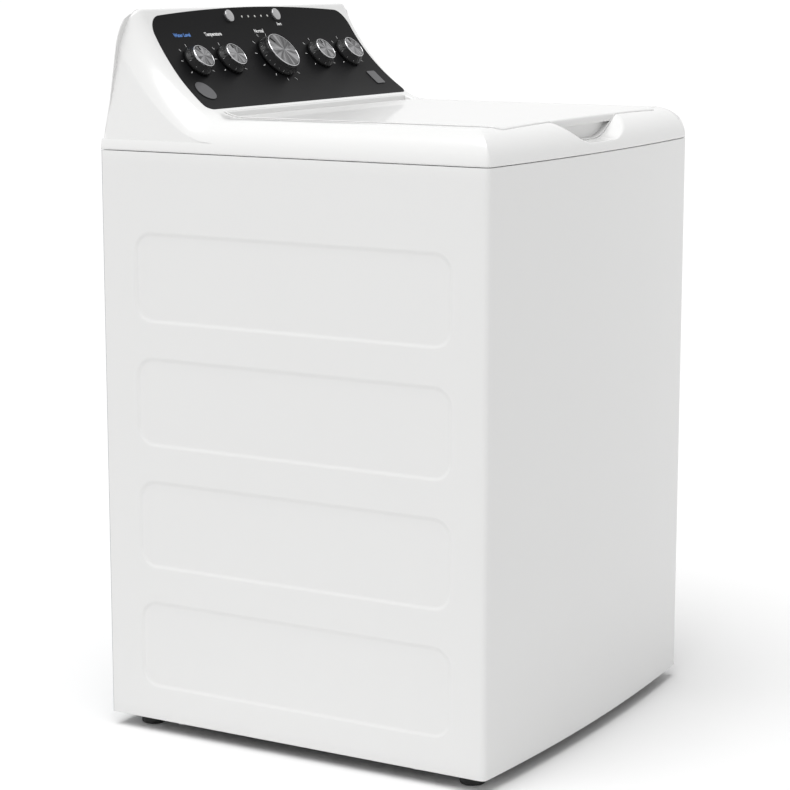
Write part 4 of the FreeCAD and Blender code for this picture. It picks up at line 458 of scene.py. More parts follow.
def swept_side(hand):
    """One side of the sweep: a section for each inset, moved outward along the rolled edge."""
    upper = SIDE_INSETS[SIDE_INSETS >= STRIP_INSET - 1e-6]
    columns = []
    for inset in upper[::-1]:
        t = max(ROLL_OUT - inset, 0) / (ROLL_OUT - STRIP_INSET)
        y, z, slope = section(float(roll_drop(np.array(inset))),
                              CONSOLE_DROP * (1 - math.sqrt(1 - (FACE_END * t) ** 2)))
        flat = min((CABINET_SIDE - RECESS_SIDE - inset) / (CABINET_SIDE - RECESS_SIDE - ROLL_OUT), 1)
        work_x = CABINET_SIDE - inset
        face_x = RECESS_SIDE + (CREST_X - RECESS_SIDE) * flat + (side_plane(z) - CREST_X) * t
        x = work_x + (face_x - work_x) * smooth(slope / math.radians(26))
        columns.append(np.stack([hand * x, y, z], -1))
    return np.stack(columns, 1)


LEFT, RIGHT = swept_side(-1), swept_side(1)
CENTRE = np.stack([LEFT[LIP_ROW:, 0]] * 41, 1)
CENTRE[..., 0] = RECESS_SIDE * np.linspace(-1, 1, 41)


def flat_side(swept, hand):
    """The console's flat side, from the roll's edge down to the strip, and the line of its foot."""
    edge = swept[LINE_ROWS:, -1]
    count = len(edge)
    foot_y = np.linspace(edge[0, 1], back_plane(STRIP_TOP), count)
    foot = np.stack([np.full(count, hand * side_plane(STRIP_TOP)), foot_y, np.full(count, STRIP_TOP)], -1)
    foot[0] = edge[0]
    rows = np.linspace(0, 1, 14)[:, None, None]
    return edge[None] * (1 - rows) + foot[None] * rows, foot


def strip(swept, foot, hand):
    """The strip below the console: the lower end of the rolled edge, carried back to the rear."""
    ledge = CABINET_SIDE - STRIP_INSET
    y = np.concatenate([swept[:LINE_ROWS, -1, 1], foot[:, 1], [STRIP_REAR]])
    inner = np.concatenate([np.full(LINE_ROWS, ledge), np.abs(foot[:, 0]), [ledge - STRIP_LIP]])
    half = np.vstack([(CABINET_SIDE - STRIP_ROWS)[:, None] + 0 * y, inner])
    z = np.append(COVER_TOP - roll_drop(STRIP_ROWS), STRIP_TOP)[:, None] + 0 * y
    return np.dstack([hand * half, y + 0 * half, z])


def opening_points(x, y):
    """The tub mouth's outline, met on the way from each recess point to the middle."""
    near, far = np.zeros_like(x), np.ones_like(x)
    for _ in range(30):
        half = (near + far) / 2
        py = MOUTH_MIDDLE + (y - MOUTH_MIDDLE) * half
        out = box_distance(x * half, py, MOUTH_SIDE, MOUTH_FRONT, MOUTH_REAR, MOUTH_RADIUS) > 0
        far, near = np.where(out, half, far), np.where(out, near, half)
    return x * near, MOUTH_MIDDLE + (y - MOUTH_MIDDLE) * near


def recess_floor(x, y):
    """Height of the recess: the ledge, the hinge trough at the back, the scoop's floor in front."""
    floor = LEDGE + (TROUGH - LEDGE) * smooth((y - TROUGH_FRONT) / 2)
    front = lowest(floor, scoop(x), 2.0)
    return floor + (front - floor) * smooth((SCOOP_REAR - y) / 1.5)


def recess():
    """Rim, wall, ledge and collar inside the recess, as loops from the rim down to the tub's mouth."""
    rear = CENTRE[0][::-1]
    rim = np.concatenate([LEFT[1:LIP_ROW + 1, 0][::-1], FRONT_GRID[-1], RIGHT[1:LIP_ROW, 0], rear[:-1]])
    x, y, z = rim.T
    qx = np.abs(x) - RECESS_SIDE + RECESS_RADIUS
    qy = RECESS_FRONT + RECESS_RADIUS - y
    corner = (qx > 0) & (qy > 0)
    nx = np.where(corner, qx, np.abs(x) > RECESS_SIDE - 0.2) * np.sign(x)
    ny = np.where(corner, -qy, np.where(y < RECESS_FRONT + 0.2, -1.0, 0) + (y > RECESS_REAR - 0.2))
    size = np.maximum(np.hypot(nx, ny), 1e-6)
    nx, ny = nx / size, ny / size
    floor = recess_floor(x - nx * RECESS_ROUND, y - ny * RECESS_ROUND)
    go = np.clip(z - floor, 0, RECESS_ROUND)
    loops = [rim]
    for turn in np.linspace(0, math.pi / 2, 4)[1:]:
        loops.append(np.stack([x - nx * go * math.sin(turn), y - ny * go * math.sin(turn),
                               z - go * (1 - math.cos(turn))], -1))
    bx, by = loops[-1][:, 0], loops[-1][:, 1]
    for share in (0.5, 0.92):
        loops.append(np.stack([bx, by, loops[3][:, 2] * (1 - share) + floor * share], -1))
    ox, oy = opening_points(bx, by)
    for share in np.linspace(0, 1, 36):
        px, py = bx + (ox - bx) * share, by + (oy - by) * share
        loops.append(np.stack([px, py, recess_floor(px, py)], -1))
    for drop, back in ((1.5, 0.0), (8.0, 0.0), (24.0, 0.0), (26.0, -1.2), (26.0, -2.5)):
        loops.append(np.stack([ox * (1 - back / 300), oy - (oy - MOUTH_MIDDLE) * back / 250,
                               np.full(len(ox), LEDGE - drop)], -1))
    return np.stack(loops)


def rear_ledge(foot):
    """The strip's rear wall, as wide as the rolled edge at each height, and the ledge that goes in under
    the console between the feet of its sides."""
    inner = abs(foot[0])
    lip = CABINET_SIDE - STRIP_INSET - STRIP_LIP
    half = np.concatenate([CABINET_SIDE - STRIP_ROWS, [lip, inner, inner - 2.5]])
    y = np.array([STRIP_REAR] * 7 + [foot[1], foot[1] - 35.0])
    z = np.concatenate([COVER_TOP - roll_drop(STRIP_ROWS), [STRIP_TOP] * 3])
    across = np.linspace(-1, 1, 31)[None]
    return np.stack([half[:, None] * across, y[:, None] + 0 * across, z[:, None] + 0 * across], -1)


def moulding():
    """All of the top moulding, welded into one skin."""
    grids = [(FRONT_GRID, FRAME_INSIDE)]
    for swept, hand in ((LEFT, -1), (RIGHT, 1)):
        flat, foot = flat_side(swept, hand)
        grids += [(swept, (0, 250, 600)), (flat, (0, 200, 980)), (strip(swept, foot, hand), (0, 200, 915))]
    grids.append((CENTRE, (0, 400, 900)))
    grids.append((rear_ledge(foot[-1]), (0, 200, 860)))
    skin = sheet("top_moulding_and_console", grids, sharp=33.0)
    well = recess()
    inner = sheet("lid_recess", [(np.concatenate([well, well[:, :1]], 1), (0, -80, 1400))], sharp=33.0)
    return skin, inner


PLASTIC = skinned("white moulded plastic", (0.83, 0.83, 0.825), 0.24, clouding=0.01, spread=0.05, scale=900.0,
                  relief=0.02, Coat_Weight=0.3, Coat_Roughness=0.08)
top_skin, recess_skin = moulding()
dress(thicken(top_skin, 0.0022), "cabinet", "white_plastic", PLASTIC, "top_cover", "console_housing")
dress(thicken(recess_skin, 0.0018), "cabinet", "white_plastic", PLASTIC)


# ---- Lid ----------------------------------------------------------------------------------------
# A steel panel, enamelled white, with turned-down edges that follow the rolled front of the top. Its
# rear edge is rolled round a hinge barrel, and a moulded pan with pressed channels closes its underside.

LID_SIDE, LID_FRONT, LID_REAR, LID_TOP, LID_FOOT = 269.6, -305.1, 157.0, 960.0, 948.0
HINGE_Y, HINGE_Z, BARREL_RADIUS, BARREL_SIDE, PIN_RADIUS = 146.0, 949.0, 10.9, 267.8, 4.2
PAN_SIDE, PAN_FRONT, PAN_REAR, CHANNELS = 265.5, -301.0, 134.5, (-200, -100, 0, 100, 200)


def rounded_loop(side, front, rear, front_radius, rear_radius):
    """Closed plan loop of a rounded rectangle: straight runs joined by quarter arcs, always with as many
    points, so that loops at different insets match."""
    turn = np.linspace(0, 1, 9)[:, None] * math.pi / 2
    corners = [(-1, rear, -1, rear_radius, 1), (-1, front, 1, front_radius, 0),
               (1, front, 1, front_radius, 1), (1, rear, -1, rear_radius, 0)]
    runs = []
    for hand, edge, inward, radius, flip in corners:
        cx, cy = hand * (side - radius), edge + inward * radius
        a = turn if not flip else math.pi / 2 - turn
        runs.append(np.hstack([cx + hand * radius * np.cos(a), cy - inward * radius * np.sin(a)]))
    loop = []
    for n, run in enumerate(runs):
        nxt = runs[(n + 1) % 4][0]
        share = np.linspace(0, 1, 22)[1:-1, None]
        loop += [run, run[-1] * (1 - share) + nxt * share]
    return np.concatenate(loop)


def bow_inset(x, y):
    """Distance inside the cabinet's bowed front."""
    return BOW_RADIUS - np.hypot(x, y - BOW_CENTRE)


def lid_skin():
    """Outer panel: loops from the turned-in foot, up the edge, over its rounding and in to the middle."""
    insets = [2.2, 0.6, 0, 0, 0, 0.2, 0.6, 1.2, 2.0, 3.0, 4.2, 5.6, 7, 8.5, 11, 14, 18, 24, 34]
    feet = [LID_FOOT + 0.4, LID_FOOT, LID_FOOT + 0.6, LID_FOOT + 6]
    loops = []
    for n, inset in enumerate(insets):
        loop = rounded_loop(LID_SIDE - inset, LID_FRONT + inset, LID_REAR - inset,
                            max(14 - inset, 1.0), max(3 - inset, 0.8))
        x, y = loop.T
        edge = min(inset, 3.0)
        drop = 3 - math.sqrt(9 - (3 - edge) ** 2)
        back = np.clip(y - HINGE_Y, 0, 11)
        drop = np.maximum(drop, 11 - np.sqrt(121 - back ** 2))
        z = LID_TOP - roll_drop(np.minimum(bow_inset(x, y), ROLL_OUT)) - drop
        if n < len(feet):
            z = np.minimum(np.where(back > 10, HINGE_Z, z), feet[n] + (back > 10))
        loops.append(np.stack([x, y, z], -1))
    x, y, z = loops[-1].T
    for share in (0.35, 0.7, 1.0):
        goal = np.clip(y, LID_FRONT + 190, LID_REAR - 190)
        loops.append(np.stack([x * (1 - share), y + (goal - y) * share, z * 0 + LID_TOP], -1))
    return thicken(sheet("lid_outer_panel", [(np.stack(loops), (0, -70, 900))], wrap=True, sharp=45), 0.0013)


def lid_pan():
    """Underside pan: a flat rim, then a shallow well with five channels, their sides smooth steps."""
    x = graded(-PAN_SIDE, PAN_SIDE, [-248, 248, *CHANNELS], 16, 4, 22)
    y = graded(PAN_FRONT, PAN_REAR, [-284, 118], 16, 4, 22)
    gx, gy = np.meshgrid(x, y)
    rim = box_distance(gx, gy, 252.0, -288.0, 121.0, 30.0)
    well = smooth(-rim / 9) * 4.5
    channel = np.zeros_like(gx)
    for middle in CHANNELS:
        channel = np.maximum(channel, smooth((13 - np.abs(gx - middle)) / 7))
    channel *= smooth(-(rim + 26) / 12)
    z = LID_FOOT + 0.8 + well - 3.5 * channel
    past = 0.75 * np.maximum(box_distance(gx, gy, PAN_SIDE, PAN_FRONT, 300.0, 13.0), 0)
    points = np.dstack([gx - np.sign(gx) * past, gy + past * (gy < 0), z])
    pan = sheet("lid_inner_pan", [(points, (0, -70, 1400))], sharp=60)
    return thicken(pan, 0.0012)


def block(name, low, high, bevel):
    """A moulded block between two corners, its edges rounded by a bevel."""
    corners = np.stack(np.meshgrid(*np.array([low, high], float).T, indexing="ij"), -1).reshape(-1, 3)
    faces = [(0, 1, 3, 2), (4, 6, 7, 5), (0, 4, 5, 1), (2, 3, 7, 6), (0, 2, 6, 4), (1, 5, 7, 3)]
    piece = placed(name, in_metres(name, corners, faces))
    rounding = piece.modifiers.new("rounding", "BEVEL")
    rounding.width, rounding.segments = bevel * MM, 3
    smooth_shaded(piece.data, 50)
    return piece


def barrel():
    """Hinge barrel: a circle carried across, closed at each end round the pin's hole."""
    angle = np.linspace(0, 2 * math.pi, 40, endpoint=False)
    rows = np.array([(238, 0), (238, PIN_RADIUS), (BARREL_SIDE - 0.4, PIN_RADIUS),
                     (BARREL_SIDE, PIN_RADIUS + 0.6), (BARREL_SIDE, BARREL_RADIUS - 0.6),
                     (BARREL_SIDE - 0.5, BARREL_RADIUS)])
    x, r = np.vstack([rows * (-1, 1), rows[::-1]]).T[..., None]
    grid = np.dstack([x + 0 * angle, HINGE_Y + r * np.cos(angle), HINGE_Z + r * np.sin(angle)])
    return sheet("lid_hinge_barrel", [(grid, (0, HINGE_Y, HINGE_Z))], wrap=True, sharp=35)


LID_ENAMEL = skinned("polished white enamel", (0.80, 0.80, 0.795), 0.34, clouding=0.01, spread=0.05,
                     scale=420.0, relief=0.015, Coat_Weight=0.22, Coat_Roughness=0.05, Specular_IOR_Level=0.3)
dress(lid_skin(), "lid", "white_enamel", LID_ENAMEL, "lid_panel")
dress(barrel(), "lid", "white_enamel", ENAMEL)
dress(lid_pan(), "lid", "white_plastic", PLASTIC, "lid_liner")
dress(block("lid_lock_strike", (253, -160, 929), (257, -140, 951), 0.8), "lid", "white_plastic", PLASTIC)


# ---- Control fascia -----------------------------------------------------------------------------
# One satin black moulding that lies in the hollow of the console's face, its corners rounded and its
# upper edge crowned. The few words at the controls and the dashes round the dials are printed on it.

FASCIA_PROUD, FASCIA_DEEP, INK_PROUD = 0.4, 1.6, 0.12
EDGE_ARC = [188.7, 207.0, 235.0, 262.0, 292.0, 322.0, 372.0]
EDGE_HALF = [296.0, 294.7, 292.4, 290.4, 287.7, 285.7, 283.3]
LOWER_CORNER, UPPER_CORNER, UPPER_SIDE = 14.0, 29.0, 372.0
CROWN_TOP, CROWN_FALL = 383.4, 1.45e-4
DIAL_TURN, BUTTON_TURN, LAMP_TURN = math.radians(49.6), math.radians(63.6), math.radians(63.4)
BOLDER = 4e-5


def on_arc(x, turn, proud):
    """A point on the hollow face: x across, and turn round its centre line from straight down."""
    radius = FACE_RADIUS - proud
    return np.stack([x, FACE_Y + radius * np.sin(turn), FACE_Z - radius * np.cos(turn)], -1)


def fascia_half(arc):
    """Half width of the fascia at a length round the arc: its taper, less the rounding of its corners."""
    half = np.interp(arc, EDGE_ARC, EDGE_HALF)
    for gap, radius in ((arc - EDGE_ARC[0], LOWER_CORNER), (UPPER_SIDE - arc, UPPER_CORNER)):
        near = np.clip(radius - gap, 0, radius)
        half = half - (radius - np.sqrt(np.maximum(radius ** 2 - near ** 2, 0)))
    return half


def fascia():
    """The panel's face and its rounded edge. Rows run from the straight lower edge to the crowned upper
    one, whose height falls away with the square of the distance from the middle."""
    low = EDGE_ARC[0]
    rise = (1 - np.cos(np.linspace(0, math.pi, 90))) / 2
    half = fascia_half(low + (UPPER_SIDE - low) * rise)
    across = np.sin(np.linspace(-math.pi / 2, math.pi / 2, 120))
    x = half[:, None] * across[None]
    arc = low + (CROWN_TOP - CROWN_FALL * x ** 2 - low) * rise[:, None]
    face = on_arc(x, arc / FACE_RADIUS, FASCIA_PROUD)
    rim = np.concatenate([face[0], face[1:, -1], face[-1, -2::-1], face[-2:0:-1, 0]])
    middle = np.array([0.0, FACE_Y, FACE_Z])
    radial = rim - middle
    radial[:, 0] = 0
    radial /= np.linalg.norm(radial, axis=1)[:, None]
    centre = rim.mean(0)
    outward = rim - centre
    outward -= radial * (outward * radial).sum(1)[:, None]
    outward /= np.linalg.norm(outward, axis=1)[:, None]
    loops = [rim]
    for out, back in ((0.22, 0.06), (0.38, 0.2), (0.45, 0.42), (0.45, FASCIA_DEEP), (0.0, FASCIA_DEEP)):
        loops.append(rim + outward * out + radial * back)
    edge = np.stack(loops)
    behind = on_arc(x, arc / FACE_RADIUS, FASCIA_PROUD - FASCIA_DEEP)
    edge = np.concatenate([edge, edge[:, :1]], 1)
    return sheet("control_fascia_panel", [(face, (0, 700, 600)), (edge, tuple(centre + 6 * radial[0])),
                                          (behind, tuple(middle))], sharp=50)


BLACK = skinned("satin black plastic", (0.0075, 0.0075, 0.008), 0.38, clouding=0.25, spread=0.08, scale=1500.0,
                relief=0.02, Specular_IOR_Level=0.04)
dress(fascia(), "cabinet", "black_fascia", BLACK, "control_fascia")


def printed(name, words, x, y, z, size, material):
    """Words set flat, made a mesh, then laid on the hollow face with their middle at a point."""
    curve = bpy.data.curves.new(name, "FONT")
    curve.body, curve.size, curve.align_x, curve.align_y = words, size * MM, "CENTER", "CENTER"
    curve.resolution_u, curve.offset = 3, size * BOLDER
    holder = placed(name + "_flat", curve)
    bpy.context.view_layer.update()
    mesh = bpy.data.meshes.new_from_object(holder)
    bpy.data.objects.remove(holder)
    flat = read(mesh.vertices, "co", 3) * 1000
    turn = math.atan2(y - FACE_Y, FACE_Z - z)
    laid = on_arc(x + flat[:, 0], turn + flat[:, 1] / FACE_RADIUS, FASCIA_PROUD + INK_PROUD)
    mesh.vertices.foreach_set("co", (laid * MM).ravel())
    bm = bmesh.new()
    bm.from_mesh(mesh)
    bmesh.ops.triangulate(bm, faces=bm.faces)
    bmesh.ops.dissolve_degenerate(bm, edges=bm.edges, dist=1e-5)
    bm.to_mesh(mesh)
    bm.free()
    mesh.materials.clear()
    return dress(placed(name, mesh), "cabinet", "black_fascia", material)


INK, GREY_INK, BLUE_INK = [
    skinned(f"{name} ink", colour, 0.5, clouding=0.1, scale=2500, relief=0.05) for name, colour in
    (("white", (0.82, 0.82, 0.82)), ("grey", (0.30, 0.30, 0.30)), ("blue", (0.08, 0.22, 0.58)))]
printed("words_water_level", "Water Level", -216.5, 274.3, 1077.1, 8.6, BLUE_INK)
printed("words_temperature", "Temperature", -133.2, 274.0, 1076.7, 8.6, INK)
printed("words_normal", "Normal", -1.4, 275.1, 1078.3, 8.6, INK)
printed("words_start", "Start", 67.8, 280.7, 1088.1, 7.0, INK)


def loose_quads(name, points):
    """Separate quads from runs of four corners."""
    points = points.reshape(-1, 3)
    return placed(name, in_metres(name, points, np.arange(len(points)).reshape(-1, 4)))


def dial_ticks(name, x, radius, angles, long, wide=0.9):
    """Short dashes printed round a dial: each a thin quad that points at the axis."""
    a = np.radians(angles)[:, None]
    r = np.array([radius, radius, radius + long, radius + long])[None]
    side = np.array([1, -1, -1, 1])[None] * wide / 2
    across = r * np.cos(a) - side * np.sin(a)
    up = r * np.sin(a) + side * np.cos(a)
    points = on_arc(x + across, DIAL_TURN + up / FACE_RADIUS, FASCIA_PROUD + INK_PROUD)
    return dress(loose_quads(name, points), "cabinet", "black_fascia", INK)


dial_ticks("cycle_dial_ticks", 0.0, 43.5, np.arange(12) * 30 + 15, 6.0)
for place, x in (("far_left", -221.7), ("left", -132.0), ("right", 132.0), ("far_right", 221.7)):
    dial_ticks(f"{place}_dial_ticks", x, 31.0, np.arange(7) * 40 - 30, 5.0)


# ---- Knobs, buttons and lamps -------------------------------------------------------------------
# Each knob is a dark moulded skirt with short flutes, a chromed rim and a spun metal face, whose notch
# points at the setting. Marks are printed on the skirts. The buttons and lamps are low domes.


def face_frame(x, turn):
    """Axes and origin, in millimetres, that stand a shape made about the Z axis on the hollow face: Z comes
    out of the face, X stays across and Y runs up the face."""
    sine, cosine = math.sin(turn), math.cos(turn)
    spot = np.array([x, FACE_Y + FACE_RADIUS * sine, FACE_Z - FACE_RADIUS * cosine])
    return np.array([[1, 0, 0], [0, cosine, sine], [0, -sine, cosine]]), spot


def stood(points, x, turn):
    """Points made about the Z axis, stood on the face."""
    axes, spot = face_frame(x, turn)
    return points @ axes + spot


def between(angle, start):
    """The turn from one angle to another, at most half a turn either way."""
    return (angle - start + math.pi) % (2 * math.pi) - math.pi


def revolve(profile, steps):
    """Grid of a profile of (radius, height) carried round the Z axis, its first column repeated last."""
    r, h = np.asarray(profile, float).T
    angle = np.linspace(0, 2 * math.pi, steps + 1)
    return np.stack([r[:, None] * np.cos(angle), r[:, None] * np.sin(angle), h[:, None] + 0 * angle], -1)


def spun_face():
    """Group for metal spun on a lathe: fine rings by distance from an axis, and wedge-shaped patches of painted
    highlight and painted shade in the colour by angle, standing in for the light the spun face catches; both
    are held in the UV map."""
    group, gin, gout = new_group("spun rings", [
        ("Color", "Color", (0.5, 0.5, 0.5, 1)), ("Roughness", "Float", 0.25),
        ("Strength", "Float", 0.2)])
    link = group.links.new
    where = add(group, "ShaderNodeUVMap", uv_map="turned")
    split = add(group, "ShaderNodeSeparateXYZ")
    link(where.outputs["UV"], split.inputs[0])
    rings = add(group, "ShaderNodeTexNoise", noise_dimensions="1D", Scale=900.0, Detail=3.0)
    link(split.outputs["X"], rings.inputs["W"])
    round_axis = add(group, "ShaderNodeCombineXYZ")
    for operation, axis in (("COSINE", "X"), ("SINE", "Y")):
        link(maths(group, operation, split.outputs["Y"]), round_axis.inputs[axis])
    place = add(group, "ShaderNodeTexCoord")
    apart = maths(group, "MULTIPLY_ADD", place.outputs["Object"], (8.0, 0.0, 0.0), round_axis.outputs[0],
                  kind="ShaderNodeVectorMath")
    # Painted highlight and painted shade: a noise round the axis scales the colour from 0.35 to 1.4 times in
    # wedge-shaped patches, standing in for the face's stretched reflections.
    painted_highlight_wedges = add(group, "ShaderNodeTexNoise", Scale=1.7, Detail=3.0, Roughness=0.65)
    link(apart, painted_highlight_wedges.inputs["Vector"])
    shade = add(group, "ShaderNodeMapRange", interpolation_type="SMOOTHSTEP", From_Min=0.40, From_Max=0.60,
                To_Min=0.35, To_Max=1.4)
    link(painted_highlight_wedges.outputs["Fac"], shade.inputs["Value"])
    tinted = maths(group, "MULTIPLY", gin.outputs["Color"], shade.outputs["Result"],
                   kind="ShaderNodeVectorMath")
    rough = maths(group, "MULTIPLY_ADD", rings.outputs["Fac"], 0.16, gin.outputs["Roughness"])
    give_out(group, gout, tinted, rough, rings.outputs["Fac"], gin.outputs["Strength"], 0.0002)
    return group


SPUN = spun_face()


def spun_metal(name, colour, roughness, strength):
    """A metal with lathe rings, whose grooves stretch its highlights; its colour also carries the group's
    wedge-shaped patches of painted highlight and painted shade.
    """
    made = grouped(name, SPUN, {"Color": (*colour, 1), "Roughness": roughness, "Strength": strength},
                   {"Metallic": 1.0, "Anisotropic": 0.8})
    tree = made.node_tree
    grooves = add(tree, "ShaderNodeTangent", direction_type="UV_MAP", uv_map="turned")
    tree.links.new(grooves.outputs["Tangent"], tree.nodes["Principled BSDF"].inputs["Tangent"])
    return made


SKIRT = skinned("black knob plastic", (0.010, 0.010, 0.0105), 0.24, clouding=0.3, scale=1800, relief=0.08,
                Specular_IOR_Level=0.16)
CHROME = skinned("bright chrome", (0.52, 0.52, 0.53), 0.12, clouding=0.03, spread=0.05, scale=900, relief=0.02,
                 Metallic=1.0)
SPUN_SILVER = spun_metal("spun silver", (0.24, 0.24, 0.245), 0.22, 0.3)
FULL_SIZE, SMALL_SIZE = (38.5, 30.8, 22.5), (26.5, 18.4, 19.5)
FLUTES, FLUTE_DEPTH, NOTCH_HALF, NOTCH_DEPTH, MARK_HALF = 24, 0.35, 2.1, 1.0, 0.4


def knob(name, body, node, x, size, notch_at):
    """A turned knob in three finishes: skirt, rim and face are rings of one profile, and the faces of each
    ring take its material. The notch is pressed into the face at an angle."""
    skirt_r, face_r, height = size
    low = FASCIA_PROUD + 1.0 + skirt_r ** 2 / (2 * FACE_RADIUS)
    slope_out, slope_in = np.array([skirt_r - 0.4, 6.6]), np.array([face_r + 2.9, height - 4.2])
    profile = [(0, low + 0.6), (skirt_r - 3, low + 0.6), (skirt_r - 1, low), (skirt_r, low + 0.5),
               (skirt_r, 6.0)]
    profile += [slope_out + (slope_in - slope_out) * t for t in (0, 0.45, 0.55, 0.75, 1.0)]
    profile += [(face_r + out, height - down) for out, down in (
        (2.2, 3.4), (2.1, 1.2), (1.8, 0.5), (1.3, 0.15), (0.9, 0.15), (0.6, 0.5), (0.3, 1.0), (-0.1, 1.0),
        (-0.4, 0.6))]
    profile += [(r, height - 0.6 + 0.5 * (1 - (r / (face_r - 0.4)) ** 2))
                for r in np.linspace(face_r - 0.9, 0.0, 14)]
    grid = revolve(profile, FLUTES * 6)
    angle = np.arctan2(grid[..., 1], grid[..., 0])
    reach = np.hypot(grid[..., 0], grid[..., 1])
    fluted = np.zeros(len(profile))[:, None]
    fluted[7:9] = 1.0
    grid[..., :2] *= (1 - fluted * FLUTE_DEPTH * (1 - np.cos(FLUTES * angle)) / reach.clip(1))[..., None]
    side = np.abs(between(angle, notch_at)) * reach
    notch_end = face_r * 0.62
    pressed = smooth((NOTCH_HALF - side) / 0.8) * (reach > notch_end) * (reach < face_r - 0.6)
    grid[..., 2] -= NOTCH_DEPTH * pressed
    axes, spot = face_frame(x, DIAL_TURN)
    piece = sheet(name, [(grid @ axes + spot, tuple(spot + 5 * axes[2]))], sharp=34)
    mesh = piece.data
    local = (read(mesh.vertices, "co", 3) * 1000 - spot) @ axes.T
    centre = (read(mesh.polygons, "center", 3) * 1000 - spot) @ axes.T
    mid = np.hypot(centre[:, 0], centre[:, 1])
    turn = np.arctan2(centre[:, 1], centre[:, 0])
    in_notch = (np.abs(between(turn, notch_at)) * mid < NOTCH_HALF + 0.2) & (mid > notch_end)
    which = np.where(mid > face_r + 0.5, 1, np.where((mid > face_r - 0.3) | in_notch, 0, 2))
    which = np.where(centre[:, 2] < height - 3.3, 0, which)
    mesh.polygons.foreach_set("material_index", which.astype(np.int32))
    loops = read(mesh.loops, "vertex_index", kind=np.int32)
    mine = np.repeat(turn, read(mesh.polygons, "loop_total", kind=np.int32))
    x_at, y_at = local[loops, :2].T
    turned = np.stack([np.hypot(x_at, y_at) * MM, mine + between(np.arctan2(y_at, x_at), mine)], -1)
    mesh.uv_layers.new(name="turned").data.foreach_set("uv", turned.astype(np.float32).ravel())
    dress(piece, body, "knob_plastic", SKIRT, node)
    mesh.materials.append(CHROME)
    mesh.materials.append(SPUN_SILVER)
    marks, count = [], 24 if x == 0 else 12
    for n in range(count):
        cosine, sine = math.cos(2 * math.pi * n / count), math.sin(2 * math.pi * n / count)
        start, end = (0.14, 0.28) if n % 2 else (0.1, 0.36)
        for share, hand in ((start, -1), (start, 1), (end, 1), (end, -1)):
            r, h = slope_out + (slope_in - slope_out) * share + (0.09, 0.05)
            aside = hand * MARK_HALF
            marks.append((r * cosine - aside * sine, r * sine + aside * cosine, h))
    dress(loose_quads(name + "_marks", stood(np.array(marks), x, DIAL_TURN)), body, "knob_plastic", GREY_INK)


knob("cycle_knob_turned", "cycle_selector", "cycle_knob", 0.0, FULL_SIZE, math.radians(125))
for label, x in (("water_level", -221.7), ("temperature", -132.0), ("options", 132.0), ("softener", 221.7)):
    knob(f"{label}_knob_turned", f"{label}_selector", f"knob_{label}", x, SMALL_SIZE, math.radians(90))


def button(name, body, node, x):
    """A domed button with a soft edge, on a short skirt that goes down into the fascia."""
    profile = [(0, -3.0), (10.0, -3.0), (10.3, -2.6), (10.3, 3.0), (10.1, 3.6), (9.5, 4.1)]
    profile += [(r, 4.1 + 0.9 * (1 - (r / 9.5) ** 2)) for r in np.linspace(8.4, 0, 9)]
    grid = stood(revolve(profile, 64), x, BUTTON_TURN)
    piece = sheet(name, [(grid, tuple(stood(np.zeros(3), x, BUTTON_TURN)))], sharp=40)
    return dress(piece, body, "silver_plastic", SILVER, node)


def lamp_lenses():
    """Five small clear domes in a row between the buttons."""
    grids = []
    for n in range(5):
        dome = [(0, -0.6), (LENS_R, -0.6), (LENS_R, LENS_FOOT)]
        dome += [(r, LENS_FOOT + 0.35 * (1 - (r / LENS_R) ** 2)) for r in (1.5, 1.0, 0.5, 0.0)]
        x = 6.7 + (n - 2) * 18.6
        grids.append((stood(revolve(dome, 20), x, LAMP_TURN), tuple(stood(np.zeros(3), x, LAMP_TURN))))
    return sheet("status_lamp_lenses", grids, sharp=50)


SILVER = skinned("silver paint", (0.40, 0.40, 0.405), 0.26, clouding=0.05, spread=0.08, scale=2600, relief=0.05,
                 Metallic=0.75)
LENS_R, LENS_FOOT = 1.9, FASCIA_PROUD + 0.1
LENS = skinned("lamp lens", (0.60, 0.60, 0.57), 0.2, clouding=0.08, scale=1500, relief=0.03, Coat_Weight=0.5)
dress(lamp_lenses(), "cabinet", "lamp", LENS, "lamps")
button("deep_fill_button_dome", "deep_fill_push", "button_deep_fill", -68.0)
button("start_button_dome", "start_push", "button_start", 68.0)


# ---- Other pieces kept from the CAD -------------------------------------------------------------
# Every piece whose shape is already right takes a finish of its own: galvanised and bright steel, cast
# alloy, moulded plastics, rubber, circuit board, motor paint and the plain badge metal.

FINISHES = {"white_plastic": PLASTIC, "white_enamel": ENAMEL}
for label, name, colour, roughness, clouding, spread, scale, relief, metallic in [
        ("galvanised_steel", "galvanised steel", (0.50, 0.51, 0.52), 0.42, 0.22, 0.20, 240, 0.12, 0.85),
        ("steel", "bright steel", (0.55, 0.55, 0.56), 0.28, 0.08, 0.12, 1200, 0.08, 1.0),
        ("cast_alloy", "cast alloy", (0.48, 0.48, 0.49), 0.50, 0.12, 0.15, 700, 0.35, 0.9),
        ("grey_plastic", "grey plastic", (0.36, 0.38, 0.40), 0.40, 0.05, 0.06, 1100, 0.10, 0.0),
        ("dark_plastic", "dark plastic", (0.035, 0.035, 0.037), 0.45, 0.10, 0.06, 1100, 0.12, 0.0),
        ("tub_plastic", "speckled tub plastic", (0.45, 0.48, 0.50), 0.45, 0.08, 0.06, 500, 0.15, 0.0),
        ("board", "circuit board", (0.03, 0.14, 0.06), 0.35, 0.25, 0.06, 900, 0.10, 0.0),
        ("black_rubber", "black rubber", (0.022, 0.022, 0.022), 0.72, 0.25, 0.06, 900, 0.30, 0.0),
        ("motor_paint", "motor paint", (0.05, 0.05, 0.055), 0.40, 0.15, 0.06, 600, 0.15, 0.0),
        ("badge", "plain badge metal", (0.11, 0.11, 0.115), 0.34, 0.10, 0.10, 1800, 0.08, 0.9)]:
    FINISHES[label] = skinned(name, colour, roughness, clouding, spread, scale, relief, Metallic=metallic)
